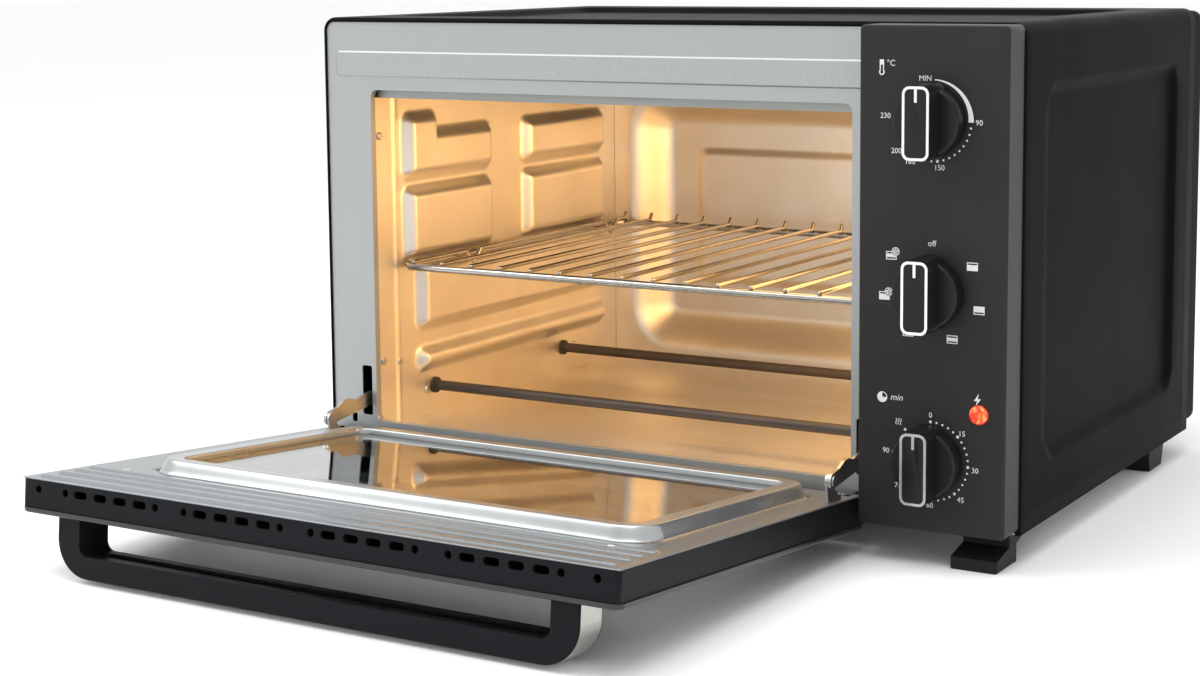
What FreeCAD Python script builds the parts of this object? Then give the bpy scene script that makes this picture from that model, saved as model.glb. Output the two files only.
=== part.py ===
"""Toaster oven with a drop-down door, wire rack, three controls and a convection fan.

Millimetres. +X is to the right, +Y to the back, +Z up. The origin is on the worktop, under the middle of the
case's footprint. The door is modelled shut and then turned to its open stop, which is the rest pose.
"""

import FreeCAD, Part
import math
import os

os.makedirs("parts", exist_ok=True)

V = FreeCAD.Vector

# ---------------------------------------------------------------- driving dimensions
# case
CASE_W = 490.0
CASE_D = 327.0
CASE_H = 290.0
CASE_R = 9.0
SHEET = 1.0
LIP = 3.0            # rolled front edge of the case
FOOT_H = 19.0
FIELD_DEPTH = 4.0    # pressed-in fields of the case
FIELD_DRAFT = 6.0
FIELD_R = 16.0
FIELD_MARGIN_Y = 37.0
FIELD_MARGIN_Z = 34.0
FIELD_MARGIN_X = 30.0
# front frame and oven opening
FRAME_T = 1.0
OPEN_LEFT = 38.0     # from the case's left side to the opening
OPEN_RIGHT = 15.0    # from the opening to the control panel
OPEN_SILL = 20.5     # from the case's underside to the opening
OPEN_HEAD = 47.5     # from the opening to the case's top
OPEN_R = 5.0
BAND_TOP = 23.0      # embossed band, measured down from the case's top
BAND_H = 15.0
BAND_RISE = 0.8
RETURN_D = 4.0       # flange that the opening's edge turns back into the cavity
# cavity liner
LINER_T = 0.8
LINER_SIDE = 2.0     # liner walls stand this far outside the opening
LINER_DROP = 7.5     # floor below the opening's sill
LINER_RISE = 11.0    # ceiling above the opening's top
CAVITY_D = CASE_D - 9.0
LINER_LIP = 5.5      # ceiling's front flange hangs this far below the opening's top
LINER_LIP_Y = 8.0    # flange behind the case's front plane
BOSS_RISE = 7.0      # pressed rack supports
BOSS_DRAFT = 6.5
BOSS_R = 7.0
DISH_DEPTH = 22.0
DISH_DRAFT = 24.0
DISH_R = 34.0
DISH_MARGIN_X = 13.0
DISH_MARGIN_Z = 9.0
# control panel
PANEL_W = 89.0
OPEN_W = CASE_W - OPEN_LEFT - OPEN_RIGHT - PANEL_W - SHEET
OPEN_H = CASE_H - OPEN_SILL - OPEN_HEAD
PANEL_OUT = 22.0
PANEL_T = 2.5
PANEL_R = 3.0
KNOB_TOP = 54.0      # first knob, measured down from the case's top
KNOB_LOW = 43.0      # last knob above the case's underside
KNOB_PITCH = (CASE_H - KNOB_TOP - KNOB_LOW) / 2
KNOB_R = 19.5
KNOB_DISC = 11.0
KNOB_OUT = 25.0
GRIP_W = 16.0
GRIP_L = 41.0
GRIP_RIM = 1.6
SHAFT_R = 3.0
SHAFT_LAP = 8.0      # shaft inside its switch
LAMP_DX = 29.0       # indicator, from the knobs' line
LAMP_UP = 29.5       # indicator above the last knob
LAMP_DROP = CASE_H - KNOB_LOW - LAMP_UP
LAMP_R = 5.5
# door
DOOR_SIDE = 1.0      # door's left edge inside the case's left side
DOOR_RIGHT = 3.5     # between the door and the control panel
DOOR_W = CASE_W - DOOR_SIDE - DOOR_RIGHT - PANEL_W - SHEET
DOOR_GAP = 2.0       # between the shut door and the case's front plane
DOOR_T = 20.0
DOOR_BOTTOM = 2.0    # above the case's underside
DOOR_TOP = 3.0       # below the case's top
SLAB_T = 3.0
SLAB_R = 6.0
DOOR_WALL = 3.0
PIVOT_IN = 6.0       # hinge line from the door's inner face, and from its bottom edge
OPEN_DEG = 85.0
RING_RISE = 8.0      # raised window frame of the inner panel
RING_DRAFT = 4.0
RING_W = 14.0
RING_GAP_LEFT = 1.5  # ring inside the opening's outline, door shut
RING_GAP_RIGHT = 9.5
RING_GAP_TOP = 15.0
RING_GAP_BOTTOM = 2.0
GLASS_T = 4.0
GLASS_LAP = 7.0
# handle
HANDLE_L = DOOR_W - 50.0
HANDLE_OUT = 34.0
HANDLE_BAR = 12.2    # thickness of the bar behind its steel strip
HANDLE_LEG = 15.5    # width of each leg inside the strip
HANDLE_H = 23.0
HANDLE_R = 22.0
HANDLE_BELOW = 5.0   # below the door's top edge
TRIM_T = 1.0
TRIM_H = 20.0
# hinge arms
SLOT_W = 8.0
SLOT_OUT = 3.5       # slot outside the opening's edge
SLOT_LOW = 24.0      # slot's lower end above the case's underside
SLOT_H = 33.5
ARM_T = 2.0
ARM_L = 74.0
ARM_HALF = 4.6
ARM_TILT = 7.0
ARM_PIN_Y = 33.0     # arm pin before the hinge line, door open
ARM_PIN_Z = 21.5     # arm pin above the hinge line, door open
EAR_T = 1.5
RIVET_R = 2.0
# heaters and rack
ROD_R = 3.5
HEATER_Y = (71.0, CASE_D - 88.0)
HEATER_LOW = 20.0    # above the floor
HEATER_HIGH = 14.0   # below the ceiling
RACK_SHELF = 0.42 * CASE_H     # pressed shelf under the rack, above the case's underside
RACK_ROD = 2.5
RACK_WIRE = 1.5
RACK_WIRES = 15
RACK_EDGE = 11.1     # outer wires inside the opening's edges
RACK_PITCH = (OPEN_W - 2 * RACK_EDGE) / (RACK_WIRES - 1)
RACK_FRONT = 30.0    # behind the case's front plane
RACK_REAR = CAVITY_D - 4.0
# rear cover
COVER_D = 26.0
COVER_IN = 2.0       # cover inside the case's outline
COVER_LAP = 2.0      # cover tucked into the case
# fan
FAN_R = 44.0
FAN_Y = CASE_D - 137.0
FAN_DROP = CASE_H / 2 + 5.0
FAN_BLADES = 8
# clearances
FIT = 0.05           # running fit on the radius
CLEAR = 0.5
SOFT_CLEAR = 0.3     # between rounded faces of different bodies

# ---------------------------------------------------------------- places worked out from them
FRONT = -CASE_D / 2
BACK = CASE_D / 2
LEFT = -CASE_W / 2
RIGHT = CASE_W / 2
BOTTOM = FOOT_H
TOP = FOOT_H + CASE_H
OX0 = LEFT + OPEN_LEFT
OX1 = OX0 + OPEN_W
OZ0 = BOTTOM + OPEN_SILL
OZ1 = OZ0 + OPEN_H
CX0 = OX0 - LINER_SIDE
CX1 = OX1 + LINER_SIDE
FLOOR = OZ0 - LINER_DROP
CEILING = OZ1 + LINER_RISE
FRAME_Y = FRONT + SHEET
LINER_Y0 = FRAME_Y + FRAME_T
LINER_Y1 = LINER_Y0 + CAVITY_D
PX1 = RIGHT - SHEET
PX0 = PX1 - PANEL_W
PZ0 = BOTTOM + 2.0
PZ1 = TOP - 1.0
PANEL_Y = FRONT - PANEL_OUT
KNOB_X = (PX0 + PX1) / 2
KNOB_Z = [TOP - KNOB_TOP - i * KNOB_PITCH for i in range(3)]
DX0 = LEFT + DOOR_SIDE
DX1 = DX0 + DOOR_W
DZ0 = BOTTOM + DOOR_BOTTOM
DZ1 = TOP - DOOR_TOP
DY_IN = FRONT - DOOR_GAP
DY_OUT = DY_IN - DOOR_T
SLAB_Y = DY_OUT + SLAB_T
PIVOT_Y = DY_IN - PIVOT_IN
PIVOT_Z = DZ0 + PIVOT_IN
SLOT_Z0 = BOTTOM + SLOT_LOW
SLOT_Z1 = SLOT_Z0 + SLOT_H


# ---------------------------------------------------------------- helpers
def box(x0, x1, y0, y1, z0, z1):
    return Part.makeBox(x1 - x0, y1 - y0, z1 - z0, V(x0, y0, z0))


def rod(start, end, radius):
    a, b = V(*start), V(*end)
    return Part.makeCylinder(radius, a.distanceToPoint(b), a, b - a)


def fused(shapes):
    first, rest = shapes[0], shapes[1:]
    return first.multiFuse(rest).removeSplitter() if rest else first


def grown(rect, by):
    u0, u1, v0, v1 = rect
    return (u0 - by, u1 + by, v0 - by, v1 + by)


def place(axis, w, u, v):
    """A point from its height w along an axis and its two other coordinates, in X, Y, Z order."""
    return {"X": V(w, u, v), "Y": V(u, w, v), "Z": V(u, v, w)}[axis]


def outline(axis, w, rect, radius):
    """Closed wire of a rectangle with round corners, in the plane across the axis at w."""
    u0, u1, v0, v1 = rect
    r = min(radius, 0.49 * (u1 - u0), 0.49 * (v1 - v0))
    edges = []
    corners = [(u1 - r, v0 + r, -90), (u1 - r, v1 - r, 0), (u0 + r, v1 - r, 90), (u0 + r, v0 + r, 180)]
    ends = []
    for cu, cv, start in corners:
        points = []
        for turn in (0, 45, 90):
            angle = math.radians(start + turn)
            points.append(place(axis, w, cu + r * math.cos(angle), cv + r * math.sin(angle)))
        ends.append(points)
    for i, points in enumerate(ends):
        edges.append(Part.Arc(*points).toShape())
        following = ends[(i + 1) % 4]
        edges.append(Part.LineSegment(points[2], following[0]).toShape())
    return Part.Wire(edges)


def frustum(axis, w0, rect0, w1, rect1, radius0, radius1=None):
    """Solid between two round-cornered rectangles on planes across the axis."""
    last = radius0 if radius1 is None else radius1
    wires = [outline(axis, w0, rect0, radius0), outline(axis, w1, rect1, last)]
    return Part.makeLoft(wires, True, True)


def plate(axis, w0, w1, rect, radius):
    return frustum(axis, w0, rect, w1, rect, radius)


def pressed(sheet, axis, face, way, depth, rects, draft, radius, thick):
    """Presses round-cornered fields out of a sheet, away from its given face. Fields that meet run together."""
    tip = max(radius - draft, 1.0)
    skins, hollows = [], []
    for rect in rects:
        skins.append(frustum(
            axis, face + way * thick, grown(rect, thick), face + way * (depth + thick), grown(rect, thick - draft),
            radius + thick, tip + thick))
        hollows.append(frustum(axis, face, rect, face + way * depth, grown(rect, -draft), radius, tip))
    return sheet.multiFuse(skins).cut(hollows)


def opened(shape):
    """Turns a piece of the shut door about the hinge line to the open stop."""
    turned = shape.copy()
    turned.rotate(V(0, PIVOT_Y, PIVOT_Z), V(1, 0, 0), OPEN_DEG)
    return turned


def pan_head(seat, out, radius, height):
    """Low round screw head standing on its seat, with a rounded rim."""
    head = Part.makeCylinder(radius, height, V(*seat), V(*out))
    far = V(*seat) + V(*out) * height
    rim = [e for e in head.Edges if len(e.Vertexes) == 1 and e.CenterOfMass.distanceToPoint(far) < 0.01]
    return head.makeFillet(height * 0.6, rim)


def save(name, shape):
    if isinstance(shape, list):
        shape = Part.makeCompound(shape)
    shape.exportStep("parts/" + name + ".step")


# ---------------------------------------------------------------- case
def make_outer_case():
    """Steel wrap: two sides and the top, with a rolled front edge and pressed-in fields."""
    whole = box(LEFT, RIGHT, FRONT, BACK, BOTTOM, TOP)
    long_tops = [e for e in whole.Edges if e.BoundBox.ZMin > TOP - 0.01 and e.BoundBox.YLength > 1]
    whole = whole.makeFillet(CASE_R, long_tops)
    inner = box(LEFT + SHEET, RIGHT - SHEET, FRONT + LIP, BACK + 1, BOTTOM - 1, TOP - SHEET)
    inner_tops = [e for e in inner.Edges if e.BoundBox.ZMin > TOP - SHEET - 0.01 and e.BoundBox.YLength > 1]
    inner = inner.makeFillet(CASE_R - SHEET, inner_tops)
    mouth = box(LEFT + LIP, RIGHT - LIP, FRONT - 1, FRONT + LIP + 1, BOTTOM - 1, TOP - LIP)
    mouth_tops = [e for e in mouth.Edges if e.BoundBox.ZMin > TOP - LIP - 0.01 and e.BoundBox.YLength > 1]
    mouth = mouth.makeFillet(CASE_R - LIP, mouth_tops)
    case = whole.cut(inner).cut(mouth)
    nose = [e for e in case.Edges if e.BoundBox.YMax < FRONT + 0.01 and is_outer(e)]
    case = case.makeFillet(LIP * 0.75, nose)
    side = (FRONT + FIELD_MARGIN_Y, BACK - FIELD_MARGIN_Y, BOTTOM + FIELD_MARGIN_Z, TOP - FIELD_MARGIN_Z)
    case = pressed(case, "X", RIGHT, -1, FIELD_DEPTH, [side], FIELD_DRAFT, FIELD_R, SHEET)
    case = pressed(case, "X", LEFT, 1, FIELD_DEPTH, [side], FIELD_DRAFT, FIELD_R, SHEET)
    top = (LEFT + FIELD_MARGIN_X, RIGHT - FIELD_MARGIN_X, side[0], side[1])
    return pressed(case, "Z", TOP, -1, FIELD_DEPTH, [top], FIELD_DRAFT, FIELD_R, SHEET)


def is_outer(edge):
    """True for the edges of the case's outer outline, apart from those at the bottom."""
    b = edge.BoundBox
    outside = b.XMin < LEFT + 0.01 or b.XMax > RIGHT - 0.01 or b.ZMax > TOP - 0.01
    return outside and not (b.ZMax < BOTTOM + 0.01)


def cover_rect(inside):
    return (LEFT + COVER_IN + inside, RIGHT - COVER_IN - inside, BOTTOM + COVER_IN + inside, TOP - COVER_IN - inside)


GLAND_X = RIGHT - 60.0
GLAND_Z = BOTTOM + 40.0
GLAND_R = 6.0
LOUVRES = 9
COVER_SCREW_IN = 22.0
COVER_R = 4.0


def make_rear_cover():
    """Pressed pan behind the case, with rows of louvre slots and the cord gland's hole."""
    y1 = BACK + COVER_D
    pan = plate("Y", BACK - COVER_LAP, y1, cover_rect(0), CASE_R - COVER_IN)
    rim = [e for e in pan.Edges if e.BoundBox.YMin > y1 - 0.01]
    pan = pan.makeFillet(COVER_R, rim)
    hollow = plate("Y", BACK - COVER_LAP - 1, y1 - SHEET, cover_rect(SHEET), CASE_R - COVER_IN - SHEET)
    pan = pan.cut(hollow.makeFillet(COVER_R - SHEET, [e for e in hollow.Edges if e.BoundBox.YMin > y1 - SHEET - 0.01]))
    slots = []
    for row in (0, 1):
        for i in range(LOUVRES):
            x = RIGHT - 40.0 - i * 9.0
            z = BOTTOM + CASE_H * (0.34 + 0.3 * row)
            slots.append(plate("Y", y1 - 5, y1 + 1, (x - 2, x + 2, z, z + 46), 2.0))
    slots.append(rod((GLAND_X, y1 - 5, GLAND_Z), (GLAND_X, y1 + 1, GLAND_Z), GLAND_R))
    return pan.cut(Part.makeCompound(slots))


def make_base_plate():
    """Flat bottom, let in behind the case's rolled front edge."""
    deck = box(LEFT + SHEET, RIGHT - SHEET, FRONT + LIP, BACK - COVER_LAP - CLEAR, BOTTOM, BOTTOM + SHEET)
    tongue = box(LEFT + LIP, RIGHT - LIP, FRAME_Y + FRAME_T, FRONT + LIP, BOTTOM, BOTTOM + SHEET)
    return deck.fuse(tongue).removeSplitter()


FOOT_W = 28.0
FOOT_IN = 7.0        # foot inside the case's side
TOE_OUT = 17.0       # toe before the case's front plane
TOE_H = 7.0
REAR_FOOT_Y = CASE_D - 60.0
REAR_FOOT_L = 26.0
FOOT_SCREW_R = 1.6
FOOT_SCREW_L = 4.0


def foot_screw_lines():
    """Y of the front and rear feet's screws."""
    return (FRONT + 30.0, FRONT + REAR_FOOT_Y + REAR_FOOT_L / 2)


def prism_x(points, x0, x1):
    """Solid with the given outline in the Y-Z plane, from x0 to x1."""
    wire = Part.makePolygon([V(x0, y, z) for y, z in points + points[:1]])
    return Part.Face(wire).extrude(V(x1 - x0, 0, 0))


def make_foot(x0, front):
    """Moulded foot. The front pair have a low toe and a neck, the rear pair are plain tapered blocks."""
    if front:
        y = FRONT
        points = [(y - TOE_OUT, 0), (y + 15, 0), (y + 15, 11), (y + 24, FOOT_H - 5), (y + 48, FOOT_H - 4),
                  (y + 50, FOOT_H), (y + 3, FOOT_H), (y + 3, TOE_H + 4), (y - TOE_OUT + 0.5, TOE_H)]
    else:
        y = FRONT + REAR_FOOT_Y
        points = [(y, 0), (y + REAR_FOOT_L, 0), (y + REAR_FOOT_L + 6, FOOT_H), (y - 3, FOOT_H)]
    foot = prism_x(points, x0, x0 + FOOT_W)
    uprights = [e for e in foot.Edges if e.BoundBox.XLength < 0.01 and e.BoundBox.ZMax < FOOT_H - 0.01
                and e.BoundBox.ZMin < TOE_H]
    return foot.makeFillet(1.0, uprights)


def make_feet():
    for side, x0 in (("left", LEFT + FOOT_IN), ("right", RIGHT - FOOT_IN - FOOT_W)):
        for end in ("front", "rear"):
            foot = make_foot(x0, end == "front")
            y = foot_screw_lines()[0 if end == "front" else 1]
            x = x0 + FOOT_W / 2
            hole = rod((x, y, FOOT_H - FOOT_SCREW_L), (x, y, FOOT_H), FOOT_SCREW_R)
            save("foot_" + end + "_" + side, foot.cut(hole))


# ---------------------------------------------------------------- front frame
LUG_T = 3.0
LUG_IN = 6.0         # lug inside the door's side edge
PIN_R = 2.5
LUG_HOLE = 0.6
DRAIN_HOLE = (17.5, 21.5, 18.3, 24.3)    # small hole in from the case's left side and up from its underside


def lug_x(side):
    """Span in X of one lower hinge lug."""
    if side == "left":
        return DX0 + LUG_IN, DX0 + LUG_IN + LUG_T
    return DX1 - LUG_IN - LUG_T, DX1 - LUG_IN


def arm_x(side):
    """Middle of one hinge-arm slot in X."""
    out = SLOT_OUT + SLOT_W / 2
    return OX0 - out if side == "left" else OX1 + out


def make_front_frame():
    """Silver face plate: opening with turned-back edges, embossed band, slots and control holes."""
    outer = (LEFT + LIP, RIGHT - LIP, BOTTOM + SHEET, TOP - LIP)
    opening = (OX0, OX1, OZ0, OZ1)
    face = plate("Y", FRAME_Y, FRAME_Y + FRAME_T, outer, CASE_R - LIP)
    band = (OX0 - 27.0, PX1 - 8.0, TOP - BAND_TOP - BAND_H, TOP - BAND_TOP)
    face = pressed(face, "Y", FRAME_Y + FRAME_T, -1, BAND_RISE, [band], 1.0, 3.0, FRAME_T)
    collar = plate("Y", FRAME_Y, FRAME_Y + FRAME_T + RETURN_D, grown(opening, FRAME_T), OPEN_R + FRAME_T)
    mouth = plate("Y", FRAME_Y - 2, FRAME_Y + 20, opening, OPEN_R)
    face = face.fuse(collar).cut(mouth)
    holes = []
    for side in ("left", "right"):
        x = arm_x(side)
        holes.append(plate("Y", FRAME_Y - 2, FRAME_Y + 4, (x - SLOT_W / 2, x + SLOT_W / 2, SLOT_Z0, SLOT_Z1), 1.5))
        x0, x1 = lug_x(side)
        holes.append(box(x0 - LUG_HOLE, x1 + LUG_HOLE, FRAME_Y - 2, FRAME_Y + 4, PIVOT_Z - 6, PIVOT_Z + 6))
    x0, x1, z0, z1 = DRAIN_HOLE
    holes.append(plate("Y", FRAME_Y - 2, FRAME_Y + 4, (LEFT + x0, LEFT + x1, BOTTOM + z0, BOTTOM + z1), 1.0))
    for z in KNOB_Z:
        holes.append(rod((KNOB_X, FRAME_Y - 2, z), (KNOB_X, FRAME_Y + 4, z), BUSH_R))
    x, z = KNOB_X + LAMP_DX, TOP - LAMP_DROP
    holes.append(rod((x, FRAME_Y - 2, z), (x, FRAME_Y + 4, z), LAMP_R + 1))
    return face.cut(Part.makeCompound(holes))


# ---------------------------------------------------------------- cavity
BOSS_FRONT = (35.0, 0.44 * CASE_D)     # front column of pressed fields, behind the case's front plane
BOSS_REAR = (CASE_D - 145.0, CASE_D - 28.0)
BOSS_STEP = 12.0               # the upper fields' rear part is this much lower
BOSS_OVER_HEATER = 7.3         # lowest field above the lower heaters
BOSS_SHARES = (0.256, 0.372)   # of the height from there to the shelf: top of the lowest field, foot of the next
BOSS_GAP = 4.0                 # between the shelf's upper fields
BOSS_MID = 54.0                # middle gap above the shelf
BOSS_UNDER_CEILING = 25.0
BOSS_TALL = 40.0               # depth of the taller part of the top front field
BOSS_LOW_IN = 13.0             # the lower two start this much further back


def wall_bosses():
    """Rectangles in Y-Z of the pressed fields of a side wall. The lower two run the wall's whole depth."""
    y0, y1 = FRONT + BOSS_FRONT[0], FRONT + BOSS_FRONT[1]
    y2, y3 = FRONT + BOSS_REAR[0], FRONT + BOSS_REAR[1]
    shelf = BOTTOM + RACK_SHELF
    high, mid = CEILING - BOSS_UNDER_CEILING, shelf + BOSS_MID
    foot = FLOOR + HEATER_LOW + ROD_R + BOSS_OVER_HEATER
    low_top, next_foot = [foot + share * (shelf - foot) for share in BOSS_SHARES]
    return [
        (y0, y0 + BOSS_TALL, mid, high), (y0, y1, mid, high - BOSS_STEP), (y0, y1, shelf + 2.0, mid - BOSS_GAP),
        (y2, y3, mid, high - BOSS_STEP), (y2, y3, shelf + 2.0, mid - BOSS_GAP),
        (y0 + BOSS_LOW_IN, y3, next_foot, shelf), (y0 + BOSS_LOW_IN, y3, foot, low_top)]


def heater_lines():
    """Name, Y and Z of each heater."""
    low, high = FLOOR + HEATER_LOW, CEILING - HEATER_HIGH
    front, rear = FRONT + HEATER_Y[0], FRONT + HEATER_Y[1]
    return [("lower_front", front, low), ("lower_rear", rear, low),
            ("upper_front", front, high), ("upper_rear", rear, high)]


def make_side_wall(side):
    """Pressed liner wall with rack supports, and holes for the heaters."""
    inner, way = (CX0, -1) if side == "left" else (CX1, 1)
    outer = inner + way * LINER_T
    wall = box(min(inner, outer), max(inner, outer), LINER_Y0, LINER_Y1, FLOOR - LINER_T, CEILING + LINER_T)
    wall = pressed(wall, "X", outer, -way, BOSS_RISE, wall_bosses(), BOSS_DRAFT, BOSS_R, LINER_T)
    holes = []
    for _, y, z in heater_lines():
        holes.append(rod((inner - 3, y, z), (inner + 3, y, z), COLLAR_NECK))
    if side == "right":
        holes += fan_openings(inner)
        holes.append(rod((inner - 3, BULB_Y, BULB_Z), (inner + 3, BULB_Y, BULB_Z), 1.6))
    return wall.cut(Part.makeCompound(holes))


FAN_Z = TOP - FAN_DROP
BULB_Y = FRONT + 100.0
BULB_Z = TOP - 52.0
COLLAR_NECK = 4.0
COLLAR_R = 5.5


def fan_openings(x):
    """Slots in the right wall in front of the fan: a ring of radial slots round a small blank disc."""
    cuts = []
    for i in range(20):
        slot = box(x - 3, x + 3, -2.0, 2.0, FAN_R * 0.35, FAN_R * 0.85)
        slot.rotate(V(0, 0, 0), V(1, 0, 0), i * 18.0)
        slot.translate(V(0, FRONT + FAN_Y, FAN_Z))
        cuts.append(slot)
    return cuts


def make_rear_wall():
    """Liner's rear wall, with the deep pressed dish and a shallow pressed rectangle on its face."""
    outer = (CX0 - LINER_T, CX1 + LINER_T, FLOOR - LINER_T, CEILING + LINER_T)
    wall = plate("Y", LINER_Y1, LINER_Y1 + LINER_T, outer, 1.0)
    dish = (CX0 + DISH_MARGIN_X, CX1 - DISH_MARGIN_X, FLOOR + DISH_MARGIN_Z, CEILING - DISH_MARGIN_Z)
    wall = pressed(wall, "Y", LINER_Y1, 1, DISH_DEPTH, [dish], DISH_DRAFT, DISH_R, LINER_T)
    return wall


def make_floor():
    return box(CX0, CX1, LINER_Y0, LINER_Y1, FLOOR - LINER_T, FLOOR)


def make_ceiling():
    """Flat ceiling with a flange turned down behind the opening's top edge."""
    sheet = box(CX0, CX1, LINER_Y0, LINER_Y1, CEILING, CEILING + LINER_T)
    y = FRONT + LINER_LIP_Y
    flange = box(CX0, CX1, y, y + LINER_T, OZ1 - LINER_LIP, CEILING)
    return sheet.fuse(flange).removeSplitter()


# ---------------------------------------------------------------- heaters
def make_heaters():
    """Straight sheathed heaters between the side walls, each with a ceramic collar and a terminal at both ends."""
    collars, terminals = [], []
    for name, y, z in heater_lines():
        save("heater_" + name, rod((CX0 + 2, y, z), (CX1 - 2, y, z), ROD_R))
        for wall, way in ((CX0, -1), (CX1, 1)):
            flange = rod((wall, y, z), (wall - way * 2, y, z), COLLAR_R)
            neck = rod((wall, y, z), (wall + way * 8, y, z), COLLAR_NECK)
            collars.append(flange.fuse(neck).removeSplitter())
            spade = box(min(wall + way * 8, wall + way * 18), max(wall + way * 8, wall + way * 18),
                        y - 3, y + 3, z - 0.4, z + 0.4)
            terminals.append(spade)
    save("heater_collars", collars)
    save("heater_terminals", terminals)


# ---------------------------------------------------------------- controls
BUSH_R = 5.0
BUSH_OUT = 8.0
NUT_R = 7.5
NUT_H = 2.5
SWITCH_SIZES = {"thermostat": (34.0, 22.0, 34.0), "selector": (38.0, 30.0, 38.0), "timer": (44.0, 36.0, 50.0)}


def make_controls():
    """Each control: body behind the front frame, threaded bush and nut, shaft, knob and bright rim."""
    nuts = []
    for z, (name, (wide, deep, high)) in zip(KNOB_Z, SWITCH_SIZES.items()):
        back = FRAME_Y + FRAME_T
        body = plate("Y", back, back + deep, (KNOB_X - wide / 2, KNOB_X + wide / 2, z - high / 2, z + high / 2), 3.0)
        bush = rod((KNOB_X, back - FRAME_T - BUSH_OUT, z), (KNOB_X, back, z), BUSH_R)
        bore = rod((KNOB_X, FRONT - 20, z), (KNOB_X, back + SHAFT_LAP, z), SHAFT_R + FIT)
        tabs = []
        for i in (-1, 0, 1):
            tabs.append(box(KNOB_X + i * 9 - 3, KNOB_X + i * 9 + 3, back + deep, back + deep + 8, z - 10.4, z - 9.6))
        part = body.fuse(bush).multiFuse(tabs).cut(bore)
        save(name + "_body", part)
        hexagon = [V(KNOB_X + NUT_R * math.cos(math.radians(a)), FRAME_Y, z + NUT_R * math.sin(math.radians(a)))
                   for a in range(0, 360, 60)]
        nut = Part.Face(Part.makePolygon(hexagon + hexagon[:1])).extrude(V(0, -NUT_H, 0))
        nuts.append(nut.cut(rod((KNOB_X, FRAME_Y - 5, z), (KNOB_X, FRAME_Y + 5, z), BUSH_R)))
        make_knob(name, z, back + SHAFT_LAP - CLEAR)
    save("control_nuts", nuts)


def make_knob(name, z, shaft_end):
    """Round disc with a tall grip bar, standing clear of the panel. The bright rim is let in round the bar's face."""
    y0 = PANEL_Y - CLEAR
    tip = PANEL_Y - KNOB_OUT
    disc = rod((KNOB_X, y0, z), (KNOB_X, y0 - KNOB_DISC, z), KNOB_R)
    disc = disc.makeFillet(1.5, [e for e in disc.Edges if e.BoundBox.YMax < y0 - KNOB_DISC + 0.01])
    grip_rect = (KNOB_X - GRIP_W / 2, KNOB_X + GRIP_W / 2, z - GRIP_L / 2, z + GRIP_L / 2)
    foot_rect = grown(grip_rect, 0.6)
    grip = frustum("Y", y0 - 1, foot_rect, tip, grip_rect, 5.0, 4.4)
    rim_y = tip + 1.2
    rim = plate("Y", tip - 0.3, rim_y, grown(grip_rect, -0.1), 4.3)
    rim = rim.cut(plate("Y", tip - 1, rim_y + 1, grown(grip_rect, -GRIP_RIM), 3.0))
    notch_rect = (KNOB_X - 0.8, KNOB_X + 0.8, z + GRIP_L / 2 - 9, z + GRIP_L / 2 - GRIP_RIM)
    mark = plate("Y", tip - 0.3, rim_y, notch_rect, 0.3)
    rim = rim.fuse(mark).removeSplitter()
    shaft = rod((KNOB_X, shaft_end, z), (KNOB_X, tip + 7, z), SHAFT_R)
    knob = disc.fuse(grip).removeSplitter().cut(rim).cut(shaft)
    save(name + "_knob", knob)
    save(name + "_rim", rim)
    save(name + "_shaft", shaft)


def make_control_panel():
    """Moulded box with an open back, standing proud of the front frame."""
    rect = (PX0, PX1, PZ0, PZ1)
    shell = plate("Y", PANEL_Y, FRONT, rect, PANEL_R)
    shell = shell.makeFillet(1.2, [e for e in shell.Edges if e.BoundBox.YMax < PANEL_Y + 0.01])
    seat = (PX0, RIGHT - LIP - CLEAR, PZ0, TOP - LIP - CLEAR)
    shell = shell.fuse(plate("Y", FRONT, FRAME_Y, seat, CASE_R - LIP)).removeSplitter()
    hollow = (PX0 + PANEL_T, RIGHT - LIP - CLEAR - PANEL_T, PZ0 + PANEL_T, TOP - LIP - CLEAR - PANEL_T)
    shell = shell.cut(plate("Y", PANEL_Y + PANEL_T, FRAME_Y + 1, hollow, 1.0))
    room = FRAME_T + CLEAR
    low, high = TOP - BAND_TOP - BAND_H - room, TOP - BAND_TOP + room
    holes = [box(PX0 - 1, PX0 + PANEL_T + 1, FRAME_Y - BAND_RISE - CLEAR, FRAME_Y + 1, low, high)]
    for z in KNOB_Z:
        holes.append(rod((KNOB_X, PANEL_Y - 1, z), (KNOB_X, FRONT, z), SHAFT_R + 2))
    x, z = KNOB_X + LAMP_DX, TOP - LAMP_DROP
    holes.append(rod((x, PANEL_Y - 1, z), (x, FRONT, z), LAMP_R - 0.8))
    return shell.cut(Part.makeCompound(holes))


def make_indicator():
    """Red lens snapped into the panel, and the neon lamp's body behind it."""
    x, z = KNOB_X + LAMP_DX, TOP - LAMP_DROP
    flange = rod((x, PANEL_Y, z), (x, PANEL_Y - 2.5, z), LAMP_R)
    flange = flange.makeFillet(1.8, [e for e in flange.Edges if e.BoundBox.YMax < PANEL_Y - 2.49])
    stem = rod((x, PANEL_Y, z), (x, PANEL_Y + 8, z), LAMP_R - 0.8)
    save("indicator_lens", flange.fuse(stem).removeSplitter())
    save("indicator_lamp", rod((x, PANEL_Y + 8, z), (x, FRAME_Y + 12, z), LAMP_R - 1.2))


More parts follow.
